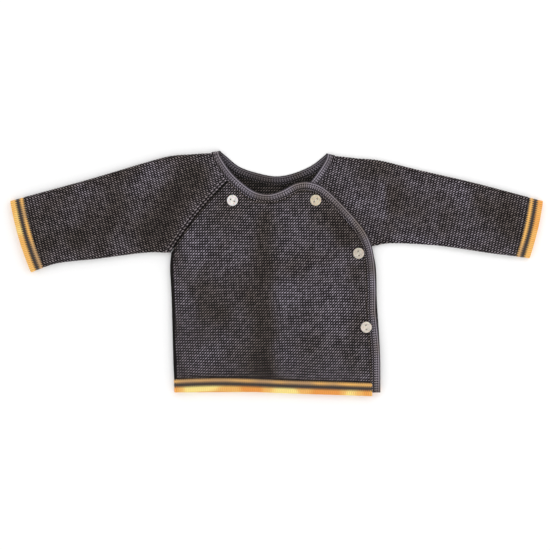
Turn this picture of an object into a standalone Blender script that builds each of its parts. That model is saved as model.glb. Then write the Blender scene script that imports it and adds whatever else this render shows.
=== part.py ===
"""Baby's crossed-front cardigan in garter stitch, laid flat on its back.

+X is the wearer's left, +Y the neck, +Z up from the surface it lies on. The origin is on
that surface, under the middle of the garment. The knitted panels are walls laid on each
other: back, then under front, then over front. The panel edges turn down or up to meet at
the side folds, and each sleeve is one sheet rolled to a flattened tube, sewn under the arm.
"""
import math

import bmesh
import bpy
import numpy as np
from mathutils import Vector
from mathutils.bvhtree import BVHTree

MM = 0.001

# Driving dimensions
WALL = 2.0 * MM               # thickness of the knit
SEAM_GAP = 0.3 * MM           # between two pieces sewn edge to edge
LAYER_PITCH = 2.8 * MM        # from the middle of one laid layer to the next
BAND_WIDTH = 8.3 * MM
HEM_DEPTH = 13.8 * MM
CUFF_DEPTH = 14.4 * MM
BODY_LOFT = 1.6 * MM          # how far the over front stands off the layer below
SLEEVE_LOFT = 0.8 * MM
SWELL_REACH = 0.14            # share of the over front in which its loft dies out
HEM_SWELL = 0.35              # share of the loft left at the hem seam
BUTTON_DIAMETER = 12.0 * MM
BUTTON_HOLE = 1.7 * MM
BUTTON_HOLE_PITCH = 4.4 * MM
BUTTON_THICKNESS = 3.0 * MM
RAGLAN_BOW = 3.0 * MM         # how far a raglan seam bulges from straight
RIGHT_CUFF_BOW = 2.4 * MM
LEFT_CUFF_BOW = -1.6 * MM

# Heights of the middle of each laid layer
BACK_LAYER = WALL / 2
UNDER_LAYER = BACK_LAYER + LAYER_PITCH
OVER_LAYER = UNDER_LAYER + LAYER_PITCH

UNDERARM = 0.58               # share of a panel's side line below the underarm
RAGLAN_SHARE = 0.40           # share of a sleeve's lower line that is raglan seam
UNDERARM_EASE = 0.035         # share over which a side fold flattens into a seam
UNDERARM_RELIEF = 1.0 * MM    # how far each piece draws back where the four seams meet
RELIEF_SHARES = np.array([1, 1, 0.85, 0.7, 0.55])    # of it, for each column of a fold
RELIEF_PEAK = 0.4             # of the way from the fold to the flat seam
FOLD_TURNS = np.radians([0, 32, 62, 90])
FOLD_SKIRT = 0.2 * MM         # upright edge of a fold, beside its seam
BAND_ACROSS = (0, 0.45, 1)    # columns of a band, from its free edge to its seam
BAND_ROWS = (54, 46, 20)      # along the over, under and back neck bands
EDGE_SAMPLES = 481            # points on a front band's lines
NECK_SAMPLES = 241
HOLE_SEGMENTS = 10

CORNER_GAP = 0.7              # millimetres from a band's shoulder corner to the sleeve's
CORNER_DROP = 0.2

# Half section of a button, from the axis over the rim to the axis, as shares of its size
BUTTON_PROFILE = [
    (0, 0.60), (0.58, 0.60), (0.76, 1.0), (0.90, 0.96),
    (1.0, 0.64), (0.90, 0.14), (0.62, 0.0), (0, 0.0),
]

# Outlines, in millimetres: each row is a place on the line, its X and its Y
OVER_BAND_EDGE = [
    ("shoulder fold", -62.0, 132.0),
    ("below the fold", -60.6, 126.0),
    ("sleeve top", -50.3, 110.5),
    ("over the raglan seam", -38.0, 98.2),
    ("falling to the front neck", -23.5, 88.2),
    ("lowest neck", -8.0, 85.2),
    ("rising from the neck", 6.5, 89.4),
    ("before the corner", 21.5, 97.0),
    ("corner", 37.0, 98.0),
    ("after the corner", 55.5, 89.0),
    ("along the left raglan", 85.5, 58.3),
    ("above the underarm", 99.5, 37.6),
    ("below the underarm", 105.6, 13.4),
    ("waist", 107.4, -18.0),
    ("below the waist", 107.4, -41.0),
    ("hip", 111.3, -84.0),
    ("hem", 111.9, -128.4),
]
UNDER_BAND_EDGE = [
    ("shoulder fold", 55.0, 129.2),
    ("below the fold", 53.6, 123.0),
    ("sleeve top", 46.5, 111.2),
    ("over the raglan seam", 35.0, 96.5),
    ("falling to the front neck", 20.0, 84.0),
    ("lowest neck", 2.0, 78.0),
    ("rising from the neck", -16.0, 81.0),
    ("corner", -33.0, 86.0),
    ("after the corner", -51.0, 79.0),
    ("along the right raglan", -79.0, 51.0),
    ("below the underarm", -97.0, 15.0),
    ("waist", -101.5, -25.0),
    ("hem", -101.0, -125.5),
]
BACK_NECK_EDGE = [
    ("right shoulder fold", -61.6, 131.9),
    ("right, below the fold", -55.0, 126.6),
    ("right raglan", -40.0, 114.6),
    ("right of the middle", -19.0, 107.4),
    ("middle back", 0.6, 104.2),
    ("left of the middle", 19.5, 107.8),
    ("left raglan", 37.5, 115.6),
    ("left, below the fold", 49.5, 124.6),
    ("left shoulder fold", 54.8, 129.2),
]
RIGHT_SIDE = [
    ("hem", -110.4, -128.3),
    ("hip", -112.0, -93.0),
    ("waist", -113.8, -28.0),
    ("below the underarm", -115.4, 5.0),
    ("underarm", -114.2, 21.6),
]
LEFT_SIDE = [
    ("hem", 112.2, -127.4),
    ("hip", 112.5, -84.0),
    ("waist", 109.4, -33.0),
    ("below the underarm", 108.2, 6.0),
    ("underarm", 103.0, 28.6),
]
HEM_EDGE = [
    ("right fold", -110.4, -128.3),
    ("right of the middle", -56.0, -126.9),
    ("middle", 18.0, -129.5),
    ("left of the middle", 70.0, -131.2),
    ("band", 103.1, -132.3),
]
RIGHT_SLEEVE_TOP = [
    ("shoulder", -70.4, 130.2),
    ("shoulder middle", -90.0, 128.6),
    ("shoulder end", -112.0, 127.0),
    ("upper arm", -134.0, 121.8),
    ("elbow", -205.6, 100.6),
    ("cuff", -287.0, 78.4),
]
RIGHT_SLEEVE_BELOW = [
    ("underarm", -114.2, 21.6),
    ("upper arm", -141.0, 21.9),
    ("elbow", -192.0, 15.4),
    ("forearm", -236.0, 10.4),
    ("cuff", -264.5, 0.8),
]
LEFT_SLEEVE_TOP = [
    ("shoulder", 63.4, 127.2),
    ("shoulder middle", 86.0, 124.3),
    ("shoulder end", 111.0, 122.0),
    ("upper arm", 150.0, 112.6),
    ("elbow", 215.0, 97.4),
    ("cuff", 287.4, 78.2),
]
LEFT_SLEEVE_BELOW = [
    ("underarm", 103.0, 28.6),
    ("upper arm", 125.0, 32.0),
    ("elbow", 176.0, 29.2),
    ("forearm", 228.5, 21.6),
    ("cuff", 272.8, 16.0),
]

# Soft folds of the over front, in millimetres: from one end to the other, width and rise
FRONT_FOLDS = [
    ("middle trough", -14.0, 66.0, -13.0, -122.0, 13.0, -1.5),
    ("right swell", -66.0, 30.0, -84.0, -112.0, 22.0, 1.1),
    ("left swell", 34.0, 48.0, 22.0, -110.0, 24.0, 0.9),
    ("pull from the right underarm", -92.0, 6.0, -64.0, -52.0, 9.0, -0.7),
    ("hollow by the side buttons", 72.0, 40.0, 78.0, -20.0, 12.0, -0.8),
]

# Buttons, in millimetres: name, centre, turn of the two holes and tilt in degrees
BUTTONS = [
    ("button_neck_right", -47.4, 78.5, -28.0, 0.0),
    ("button_neck_left", 42.2, 78.6, 44.0, 6.0),
    ("button_side_upper", 88.7, 21.3, 98.0, 3.0),
    ("button_side_lower", 96.9, -58.3, 98.0, 2.0),
]

CHARCOAL = (0.050, 0.046, 0.047, 1.0)
BAND = (0.078, 0.072, 0.073, 1.0)
MUSTARD = (0.68, 0.38, 0.12, 1.0)
PEARL = (0.80, 0.74, 0.64, 1.0)


# Lines in the plane are arrays of points; a fraction of a line is by count of its points

def smooth_line(rows, samples=240):
    """Catmull-Rom curve through the rows' places, its points evenly spaced."""
    points = np.array([(x, y) for _, x, y in rows]) * MM
    padded = np.vstack([2 * points[0] - points[1], points, 2 * points[-1] - points[-2]])
    t = np.linspace(0, 1, 24, endpoint=False)[:, None]
    pieces = []
    for a, b, c, d in zip(padded, padded[1:], padded[2:], padded[3:]):
        pieces.append(0.5 * (2 * b + (c - a) * t + (2 * a - 5 * b + 4 * c - d) * t ** 2
                             + (3 * b - a - 3 * c + d) * t ** 3))
    pieces.append(points[-1:])
    return evenly(np.vstack(pieces), samples)


def at(line, fraction):
    """The point, or points, at a fraction of the line's count of points."""
    index = np.asarray(fraction) * (len(line) - 1)
    counts = np.arange(len(line))
    return np.stack([np.interp(index, counts, line[:, k]) for k in (0, 1)], axis=-1)


def evenly(line, samples):
    """The same line with its points evenly spaced."""
    steps = np.linalg.norm(np.diff(line, axis=0), axis=1)
    along = np.concatenate([[0], np.cumsum(steps)])
    wanted = np.linspace(0, along[-1], samples)
    return np.stack([np.interp(wanted, along, line[:, k]) for k in (0, 1)], axis=-1)


def length(line):
    return np.linalg.norm(np.diff(line, axis=0), axis=1).sum()


def stretch(line, start, end, samples=160):
    return at(line, np.linspace(start, end, samples))


def joined(first, second, share, samples=400):
    """Two lines end to end, the first one taking a given share of the fractions."""
    count = round(samples * share)
    return np.vstack([evenly(first, count + 1), evenly(second, samples - count + 1)[1:]])


def beside(line, distance):
    """The line moved to its left by a distance, point for point."""
    tangent = np.gradient(line, axis=0)
    tangent /= np.linalg.norm(tangent, axis=1)[:, None]
    normal = np.stack([-tangent[:, 1], tangent[:, 0]], axis=1)
    return line + normal * np.reshape(distance, (-1, 1))


def pinned(line, start=None, end=None, reach=0.06):
    """The line with its ends eased onto given points over a reach of its length."""
    s = np.linspace(0, 1, len(line))[:, None]
    moved = line.copy()
    if start is not None:
        moved += (start - line[0]) * np.clip(1 - s / reach, 0, 1) ** 2
    if end is not None:
        moved += (end - line[-1]) * np.clip(1 - (1 - s) / reach, 0, 1) ** 2
    return moved


def place(x, y):
    return np.array([x, y]) * MM


def nearest(line, point):
    """The fraction of the line that lies nearest a point."""
    return np.argmin(np.linalg.norm(line - point, axis=1)) / (len(line) - 1)


def bowed(start, end, bow=0.0):
    """A shallow arc from start to end, bulging to its left."""
    s = np.linspace(0, 1, 60)[:, None]
    chord = end - start
    normal = np.array([-chord[1], chord[0]]) / np.linalg.norm(chord)
    return start + chord * s + normal * bow * 4 * s * (1 - s)


def patch(low, high, first, last, u, v):
    """Coons patch: u runs along low and high, v along first and last."""
    ends = ((1 - u) * (1 - v))[..., None] * low[0] + (u * (1 - v))[..., None] * low[-1]
    ends = ends + ((1 - u) * v)[..., None] * high[0] + (u * v)[..., None] * high[-1]
    along = (1 - v)[..., None] * at(low, u) + v[..., None] * at(high, u)
    across = (1 - u)[..., None] * at(first, v) + u[..., None] * at(last, v)
    return along + across - ends


def ease(x, start, end):
    """0 before start, 1 after end, smooth between."""
    t = np.clip((x - start) / (end - start), 0, 1)
    return t * t * (3 - 2 * t)


# Sheets of knit

def finish(name, colour, roughness):
    material = bpy.data.materials.get(name) or bpy.data.materials.new(name)
    material.use_nodes = True
    shader = material.node_tree.nodes["Principled BSDF"]
    shader.inputs["Base Color"].default_value = colour
    shader.inputs["Roughness"].default_value = roughness
    return material


def sheet(name, points, colour):
    """One wall of knit: a grid moved onto points[row, column] and given its thickness."""
    rows, columns = points.shape[:2]
    grid = bmesh.new()
    bmesh.ops.create_grid(grid, x_segments=columns - 1, y_segments=rows - 1, size=1)
    for vertex in grid.verts:
        column = round((vertex.co.x + 1) / 2 * (columns - 1))
        row = round((vertex.co.y + 1) / 2 * (rows - 1))
        vertex.co = points[row, column]
    mesh = bpy.data.meshes.new(name)
    grid.to_mesh(mesh)
    grid.free()
    mesh.materials.append(finish(name + "_knit", colour, 0.95))
    piece = bpy.data.objects.new(name, mesh)
    garment.objects.link(piece)
    wall = piece.modifiers.new("Wall", "SOLIDIFY")
    wall.thickness = WALL
    wall.offset = 0
    wall.use_even_offset = True
    return piece


def fold_steps(layer, middle):
    """A quarter-round fold from its seam to the flat: how far in, and how high."""
    foot = SEAM_GAP / 2 + FOLD_SKIRT
    radius = abs(layer - middle) - foot
    inward = WALL / 2 + radius * (1 - np.cos(FOLD_TURNS))
    rise = foot + radius * np.sin(FOLD_TURNS)
    inward = np.concatenate([inward[:1], inward])
    rise = np.concatenate([[SEAM_GAP / 2], rise])
    return inward, middle + math.copysign(1, layer - middle) * rise


def edge_steps(past_underarm, layer, middle):
    """Insets and heights of the columns by a side.

    past_underarm counts from the underarm up the raglan seam. Before 0 the side turns to
    a seam at the middle height of its fold, and after 1 it is a flat seam.
    """
    fold = 1 - ease(past_underarm, 0, 1)
    inward, heights = fold_steps(layer, middle)
    flat = np.linspace(SEAM_GAP / 2, inward[-1], len(inward))
    turned = min(1, 2 * fold)
    relief = UNDERARM_RELIEF * max(0, 1 - abs(past_underarm - RELIEF_PEAK))
    return (turned * inward + (1 - turned) * flat + relief * RELIEF_SHARES,
            fold * heights + (1 - fold) * layer)


def panel(name, low, high, first, last, rows, layer, middles, across, colour,
          underarm=2.0, loft=None):
    """A laid panel: first and last are its side lines, low its hem and high its neck.

    middles gives the middle height of the fold along each side line, or None for a plain
    seam. The fold lies below the underarm, a fraction of the side line.
    """
    u_rows, z_rows = [], []
    for v in rows:
        width = np.linalg.norm(at(first, v) - at(last, v))
        past = (v - underarm) / UNDERARM_EASE
        steps = [edge_steps(past, layer, m) if m else (np.zeros(1), np.full(1, layer))
                 for m in middles]
        start, end = steps[0][0] / width, 1 - steps[1][0][::-1] / width
        inner = np.linspace(start[-1], end[0], across + 2)[1:-1]
        u_rows.append(np.concatenate([start, inner, end]))
        z_rows.append(np.concatenate([steps[0][1], np.full(across, layer),
                                      steps[1][1][::-1]]))
    u, z = np.array(u_rows), np.array(z_rows)
    v = np.repeat(np.reshape(rows, (-1, 1)), u.shape[1], axis=1)
    plan = patch(low, high, first, last, u, v)
    if loft:
        z = z + loft(plan, u, v)
    sheet(name, np.concatenate([plan, z[..., None]], axis=-1), colour)


def front_loft(plan, u, v):
    """Rise of the over front: a swell that dies out at its seams, with its soft folds."""
    swell = ease(u, 0.02, 0.2) * ease(1 - u, 0, SWELL_REACH) * ease(1 - v, 0, SWELL_REACH)
    swell = swell * (HEM_SWELL + (1 - HEM_SWELL) * ease(v, 0, 0.1))
    rise = np.full(u.shape, BODY_LOFT)
    for _, x0, y0, x1, y1, width, height in FRONT_FOLDS:
        start, along = place(x0, y0), place(x1, y1) - place(x0, y0)
        s = np.clip(((plan - start) @ along) / (along @ along), 0, 1)
        off = np.linalg.norm(plan - (start + s[..., None] * along), axis=-1)
        rise = rise + height * MM * np.exp(-(off / (width * MM)) ** 2)
    return swell * np.maximum(rise, 0)


def strip(name, edge, seam, rows, layer, middles, colour):
    """A band between its free edge and its seam, which have the same count of points.

    middles gives the middle height of the shoulder fold at each end, or None.
    """
    total = length(edge)
    s, z = np.linspace(0, 1, rows), np.full(rows, layer)
    if middles[0]:
        inward, heights = fold_steps(layer, middles[0])
        s = np.concatenate([inward[:-1], np.linspace(inward[-1], total, rows)]) / total
        z = np.concatenate([heights[:-1], z])
    if middles[1]:
        inward, heights = fold_steps(layer, middles[1])
        flat = len(s) - rows
        s[flat:] = np.linspace(s[flat], 1 - inward[-1] / total, rows)
        s = np.concatenate([s, 1 - inward[-2::-1] / total])
        z = np.concatenate([z, heights[-2::-1]])
    across = np.array(BAND_ACROSS)[:, None]
    plan = at(edge, s)[:, None] * (1 - across) + at(seam, s)[:, None] * across
    heights = np.repeat(z[:, None], len(BAND_ACROSS), axis=1)
    sheet(name, np.concatenate([plan, heights[..., None]], axis=-1), colour)


def tube(name, top, lower, start, end, rows, upper, across, colour, underarm=-1.0, loft=0.0):
    """A sleeve or cuff: one sheet from its front seam, over the top fold, to its back seam.

    top runs along the arm's upper fold. lower, start and end each give a front and a back
    line: lower along the arm, start and end from it to the top fold at the neck and the
    wrist. upper is the height of the front layer's middle at each row. underarm is the
    fraction of the lower lines where the raglan seam ends.
    """
    halves = []
    for side, is_front in enumerate((True, False)):
        half = []
        for v, height in zip(rows, upper):
            width = np.linalg.norm(at(lower[side], v) - at(top, v))
            middle = (height + BACK_LAYER) / 2
            layer = height if is_front else BACK_LAYER
            past = (underarm - v) / UNDERARM_EASE
            seam_inward, seam_heights = edge_steps(past, layer, middle)
            top_inward, top_heights = fold_steps(layer, middle)
            first = seam_inward / width
            last = 1 - top_inward[::-1] / width
            inner = np.linspace(first[-1], last[0], across + 2)[1:-1]
            crown = loft * np.sin(math.pi * inner) * is_front
            w = np.concatenate([first, inner, last])
            z = np.concatenate([seam_heights, layer + crown, top_heights[::-1]])
            w, z = np.delete(w, -2), np.delete(z, -2)
            z[-1] = middle
            plan = patch(start[side], end[side], lower[side], top, w, np.full(w.shape, v))
            half.append(np.concatenate([plan, z[:, None]], axis=-1))
        halves.append(np.array(half))
    front, back = halves
    sheet(name, np.concatenate([front[:, :-1], back[:, ::-1]], axis=1), colour)


# Buttons

def button(name, x, y, turn, tilt, seat):
    """A turned disc with a raised rim, drilled with two thread holes."""
    mesh = bpy.data.meshes.new(name)
    mesh.from_pydata([(r * BUTTON_DIAMETER / 2, 0, z * BUTTON_THICKNESS)
                      for r, z in BUTTON_PROFILE],
                     [(k, k + 1) for k in range(len(BUTTON_PROFILE) - 1)], [])
    mesh.materials.append(finish("pearl", PEARL, 0.25))
    disc = bpy.data.objects.new(name, mesh)
    garment.objects.link(disc)
    disc.location = (x * MM, y * MM, seat)
    disc.rotation_euler = (0, math.radians(tilt), math.radians(turn))
    turned = disc.modifiers.new("Turned", "SCREW")
    turned.steps = turned.render_steps = 20
    turned.use_merge_vertices = True
    turned.merge_threshold = 0.00001
    for side in (-1, 1):
        drill = cylinder(f"{name}_drill", BUTTON_HOLE / 2, BUTTON_THICKNESS * 4)
        drill.parent = disc
        drill.location = (side * BUTTON_HOLE_PITCH / 2, 0, 0)
        hole = disc.modifiers.new("Thread hole", "BOOLEAN")
        hole.operation = "DIFFERENCE"
        hole.object = drill


def cylinder(name, radius, depth):
    shape = bmesh.new()
    bmesh.ops.create_cone(shape, cap_ends=True, segments=HOLE_SEGMENTS, radius1=radius,
                          radius2=radius, depth=depth)
    mesh = bpy.data.meshes.new(name)
    shape.to_mesh(mesh)
    shape.free()
    cutter = bpy.data.objects.new(name, mesh)
    cutters.objects.link(cutter)
    cutter.hide_render = True
    cutter.display_type = "WIRE"
    return cutter


# The garment

for old in list(bpy.data.objects):
    bpy.data.objects.remove(old, do_unlink=True)

garment = bpy.data.collections.new("baby_cardigan")
cutters = bpy.data.collections.new("cutters")
bpy.context.scene.collection.children.link(garment)
bpy.context.scene.collection.children.link(cutters)

right_fold = (OVER_LAYER + BACK_LAYER) / 2      # middle heights of the folds at the sides
left_fold = (UNDER_LAYER + BACK_LAYER) / 2

# Bands: each free edge, the seam edge beside it, and the panels' edge across the gap
right_shoulder = place(-70.2, 129.9)
left_shoulder = place(63.2, 127.0)
over_edge = smooth_line(OVER_BAND_EDGE, EDGE_SAMPLES)
over_seam = pinned(beside(over_edge, -BAND_WIDTH), start=right_shoulder)
over_panel_edge = beside(over_seam, -SEAM_GAP)
under_edge = smooth_line(UNDER_BAND_EDGE, EDGE_SAMPLES)
under_seam = pinned(beside(under_edge, BAND_WIDTH), start=left_shoulder)
under_panel_edge = beside(under_seam, SEAM_GAP)
neck_edge = smooth_line(BACK_NECK_EDGE, NECK_SAMPLES)
neck_seam = evenly(np.vstack([right_shoulder, beside(neck_edge, -BAND_WIDTH),
                              left_shoulder]), NECK_SAMPLES)
right_sleeve_corner = right_shoulder + place(-CORNER_GAP, -CORNER_DROP)
left_sleeve_corner = left_shoulder + place(CORNER_GAP, -CORNER_DROP)
neck_panel_edge = evenly(np.vstack([right_sleeve_corner,
                                    beside(neck_edge, -BAND_WIDTH - SEAM_GAP),
                                    left_sleeve_corner]), NECK_SAMPLES)
over_panel_edge = pinned(over_panel_edge, start=right_sleeve_corner)
under_panel_edge = pinned(under_panel_edge, start=left_sleeve_corner)

strip("band_over", over_edge, over_seam, BAND_ROWS[0], OVER_LAYER, (right_fold, None), BAND)
strip("band_under", under_edge, under_seam, BAND_ROWS[1], UNDER_LAYER, (left_fold, None), BAND)
strip("band_back_neck", neck_edge, neck_seam, BAND_ROWS[2], BACK_LAYER,
      (right_fold, left_fold), BAND)

# Side folds and raglan seams
right_side = smooth_line(RIGHT_SIDE)
left_side = smooth_line(LEFT_SIDE)
over_raglan_top = nearest(over_panel_edge, place(-52.0, 99.5))
under_raglan_top = nearest(under_panel_edge, place(45.0, 95.0))
right_back_top = nearest(neck_panel_edge, place(-49.0, 109.0))
left_back_top = nearest(neck_panel_edge, place(45.0, 109.5))
right_front_raglan = bowed(right_side[-1], at(over_panel_edge, over_raglan_top), RAGLAN_BOW)
right_back_raglan = bowed(right_side[-1], at(neck_panel_edge, right_back_top), RAGLAN_BOW)
left_front_raglan = bowed(left_side[-1], at(under_panel_edge, under_raglan_top), -RAGLAN_BOW)
left_back_raglan = bowed(left_side[-1], at(neck_panel_edge, left_back_top), -RAGLAN_BOW)

# Hem: its free edge and seam, and the panels' edge across the gap
hem_edge = smooth_line(HEM_EDGE)
seam_gap = np.array([0, SEAM_GAP])
hem_depth = np.array([0, HEM_DEPTH])
over_hem_seam = hem_edge + hem_depth


def side_parts(side):
    """The side line beside the hem trim, and beside the panel above it."""
    seam = nearest(side, side[0] + hem_depth)
    gap = SEAM_GAP / length(side)
    return stretch(side, 0, seam), stretch(side, seam + gap, 1)


right_hem_side, right_panel_side = side_parts(right_side)
left_hem_side, left_panel_side = side_parts(left_side)
body_rows = np.concatenate([np.linspace(0, UNDERARM, 9), [UNDERARM + UNDERARM_EASE / 2],
                            np.linspace(UNDERARM + UNDERARM_EASE, 1, 6)])
hidden_rows = np.concatenate([np.linspace(0, UNDERARM, 6), [UNDERARM + UNDERARM_EASE / 2],
                              np.linspace(UNDERARM + UNDERARM_EASE, 1, 5)])

# Over front and its hem trim
corner = nearest(over_panel_edge, place(42.0, 88.5))
hem_stop = nearest(over_panel_edge, over_hem_seam[-1] + seam_gap)
over_side = joined(right_panel_side, right_front_raglan, UNDERARM)
over_neck = stretch(over_panel_edge, over_raglan_top, corner)
over_wrap = stretch(over_panel_edge, hem_stop, corner)
over_low = pinned(over_hem_seam + seam_gap, over_side[0], over_wrap[0], reach=0.5)
panel("front_over", over_low, over_neck, over_side, over_wrap, body_rows, OVER_LAYER,
      (right_fold, None), 13, CHARCOAL, UNDERARM, front_loft)
hem_end = bowed(hem_edge[-1], over_wrap[0] - seam_gap)
panel("hem_over", hem_edge, pinned(over_low - seam_gap, right_hem_side[-1]),
      right_hem_side, hem_end, np.linspace(0, 1, 3), OVER_LAYER, (right_fold, None), 13,
      MUSTARD)

# Under front and its hem trim
corner = nearest(under_panel_edge, place(-38.0, 77.0))
hem_stop = nearest(under_panel_edge, place(-93.0, left_panel_side[0][1] / MM))
under_side = joined(left_panel_side, left_front_raglan, UNDERARM)
under_neck = stretch(under_panel_edge, under_raglan_top, corner)
under_wrap = stretch(under_panel_edge, hem_stop, corner)
panel("front_under", bowed(under_side[0], under_wrap[0]), under_neck, under_side, under_wrap,
      hidden_rows, UNDER_LAYER, (left_fold, None), 12, CHARCOAL, UNDERARM)
under_hem_end = bowed(under_wrap[0] - hem_depth, under_wrap[0] - seam_gap)
panel("hem_under", bowed(left_hem_side[0], under_hem_end[0]),
      bowed(left_hem_side[-1], under_hem_end[-1]), left_hem_side, under_hem_end,
      np.linspace(0, 1, 3), UNDER_LAYER, (left_fold, None), 9, MUSTARD)

# Back and its hem trim
back_side = joined(right_panel_side, right_back_raglan, UNDERARM)
back_other_side = joined(left_panel_side, left_back_raglan, UNDERARM)
back_neck = stretch(neck_panel_edge, right_back_top, left_back_top)
panel("back_panel", bowed(back_side[0], back_other_side[0]), back_neck, back_side,
      back_other_side, hidden_rows, BACK_LAYER, (right_fold, left_fold), 10, CHARCOAL,
      UNDERARM)
panel("hem_back", bowed(right_hem_side[0], left_hem_side[0]),
      bowed(right_hem_side[-1], left_hem_side[-1]), right_hem_side, left_hem_side,
      np.linspace(0, 1, 3), BACK_LAYER, (right_fold, left_fold), 10, MUSTARD)


# Sleeves and cuffs

def sleeve(side, top_rows, below_rows, corner, neck_lines, raglans, cuff_bow, upper_layers):
    """A raglan sleeve and its cuff.

    neck_lines and raglans give the front line and the back line. upper_layers are the
    heights of the front layer's middle by the body and by the wrist.
    """
    top = pinned(smooth_line(top_rows), start=corner)
    below = smooth_line(below_rows)
    cuff = CUFF_DEPTH / length(top), CUFF_DEPTH / length(below)
    gap = SEAM_GAP / length(top), SEAM_GAP / length(below)
    wrist = [bowed(at(below, 1 - cuff[1] * k - gap[1] * g),
                   at(top, 1 - cuff[0] * k - gap[0] * g), cuff_bow)
             for k, g in ((1, 1), (1, 0), (0, 0))]
    arm = stretch(below, 0, 1 - cuff[1] - gap[1])
    lower = [joined(raglan[::-1], arm, RAGLAN_SHARE) for raglan in raglans]
    rows = np.concatenate([np.linspace(0, RAGLAN_SHARE - UNDERARM_EASE, 5),
                           [RAGLAN_SHARE - UNDERARM_EASE / 2],
                           np.linspace(RAGLAN_SHARE, 1, 8)])
    rise = ease(rows, RAGLAN_SHARE + 0.06, 0.8)
    upper = upper_layers[0] * (1 - rise) + upper_layers[1] * rise
    tube(f"sleeve_{side}", stretch(top, 0, 1 - cuff[0] - gap[0]), lower, neck_lines,
         [wrist[0], wrist[0]], rows, upper, 3, CHARCOAL, RAGLAN_SHARE, SLEEVE_LOFT)
    cuff_below = stretch(below, 1 - cuff[1], 1)
    tube(f"cuff_{side}", stretch(top, 1 - cuff[0], 1), [cuff_below, cuff_below],
         [wrist[1], wrist[1]], [wrist[2], wrist[2]], np.linspace(0, 1, 3),
         np.full(3, upper_layers[1]), 4, MUSTARD)


sleeve("right", RIGHT_SLEEVE_TOP, RIGHT_SLEEVE_BELOW, right_sleeve_corner,
       (stretch(over_panel_edge, over_raglan_top, 0),
        stretch(neck_panel_edge, right_back_top, 0)),
       (right_front_raglan, right_back_raglan), RIGHT_CUFF_BOW, (OVER_LAYER, OVER_LAYER))
sleeve("left", LEFT_SLEEVE_TOP, LEFT_SLEEVE_BELOW, left_sleeve_corner,
       (stretch(under_panel_edge, under_raglan_top, 0),
        stretch(neck_panel_edge, left_back_top, 1)),
       (left_front_raglan, left_back_raglan), LEFT_CUFF_BOW, (UNDER_LAYER, OVER_LAYER))

# Buttons lie on the highest knit beneath them

def knit_top(x, y, radius):
    """The highest point of the over front and its band within a radius of a place."""
    depsgraph = bpy.context.evaluated_depsgraph_get()
    tops = []
    for name in ("front_over", "band_over"):
        tree = BVHTree.FromObject(bpy.data.objects[name], depsgraph)
        for ring in (0, 0.5, 1):
            for turn in range(12):
                angle = math.radians(turn * 30)
                above = Vector((x + ring * radius * math.cos(angle),
                                y + ring * radius * math.sin(angle), 1.0))
                hit = tree.ray_cast(above, Vector((0, 0, -1)))[0]
                if hit:
                    tops.append(hit.z)
    return max(tops)


bpy.context.view_layer.update()
for name, x, y, turn, tilt in BUTTONS:
    flat_radius = BUTTON_DIAMETER / 2 * BUTTON_PROFILE[-2][0]
    tilt_rise = math.sin(math.radians(tilt)) * flat_radius
    seat = knit_top(x * MM, y * MM, flat_radius) + SEAM_GAP + tilt_rise
    button(name, x, y, turn, tilt, seat)
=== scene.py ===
import bpy
import numpy as np
from mathutils.geometry import delaunay_2d_cdt
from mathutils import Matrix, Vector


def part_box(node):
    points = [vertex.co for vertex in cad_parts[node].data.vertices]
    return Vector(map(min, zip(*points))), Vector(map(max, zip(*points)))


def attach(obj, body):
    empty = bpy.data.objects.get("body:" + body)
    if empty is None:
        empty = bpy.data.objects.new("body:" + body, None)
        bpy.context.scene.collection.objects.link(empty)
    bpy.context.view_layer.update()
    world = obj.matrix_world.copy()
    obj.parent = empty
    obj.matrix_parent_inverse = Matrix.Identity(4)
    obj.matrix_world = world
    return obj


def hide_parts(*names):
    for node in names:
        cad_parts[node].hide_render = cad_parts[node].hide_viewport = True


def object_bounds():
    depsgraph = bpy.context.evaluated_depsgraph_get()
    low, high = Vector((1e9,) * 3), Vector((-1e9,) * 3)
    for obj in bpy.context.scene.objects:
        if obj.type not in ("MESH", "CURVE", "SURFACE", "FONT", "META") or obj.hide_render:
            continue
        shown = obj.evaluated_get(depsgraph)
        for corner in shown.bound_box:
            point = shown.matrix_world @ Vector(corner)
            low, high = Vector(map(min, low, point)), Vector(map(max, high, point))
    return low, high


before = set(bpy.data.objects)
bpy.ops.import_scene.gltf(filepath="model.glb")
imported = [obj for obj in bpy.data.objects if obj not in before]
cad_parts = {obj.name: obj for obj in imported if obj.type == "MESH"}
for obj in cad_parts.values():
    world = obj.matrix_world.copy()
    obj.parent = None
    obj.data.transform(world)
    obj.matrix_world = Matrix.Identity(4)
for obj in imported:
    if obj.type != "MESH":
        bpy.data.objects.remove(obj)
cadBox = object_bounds()
mm = 0.001
turn = 2 * np.pi

# The laid cloth: one wall of knit, its layers and the seams between its pieces
cloth = {
    "wall": 2.0 * mm,
    "gap": 0.3 * mm,          # between pieces that are sewn edge to edge
    "back": 1.0 * mm,         # heights of the middle of each layer
    "under": 3.8 * mm,
    "over": 6.6 * mm,
    "foldSkirt": 0.2 * mm,    # upright edge of a side fold, beside its seam
    "underarmEase": 7 * mm,   # over which a side fold flattens into the raglan seam
    "relief": 0.46 * mm,      # half the height of the garter bumps
    "sunk": 0.55,             # how far the bumps lie below the wall's face, as a share
    "cells": 4,               # cells of the mesh to a stitch
    "trimBulge": 0.35 * mm,   # how far the rolled edge of a band or a trim stands out
}
half = cloth["wall"] / 2
rightFold = (cloth["over"] + cloth["back"]) / 2
leftFold = (cloth["under"] + cloth["back"]) / 2


# Lines in the plane: arrays of points, and a fraction is by count of the points

def place(x, y):
    return np.array([x, y]) * mm


def evenly(line, samples):
    # the same line, its points spaced by equal arc length
    along = np.concatenate([[0], np.cumsum(np.linalg.norm(np.diff(line, axis=0), axis=1))])
    wanted = np.linspace(0, along[-1], samples)
    return np.stack([np.interp(wanted, along, line[:, k]) for k in (0, 1)], axis=-1)


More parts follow.
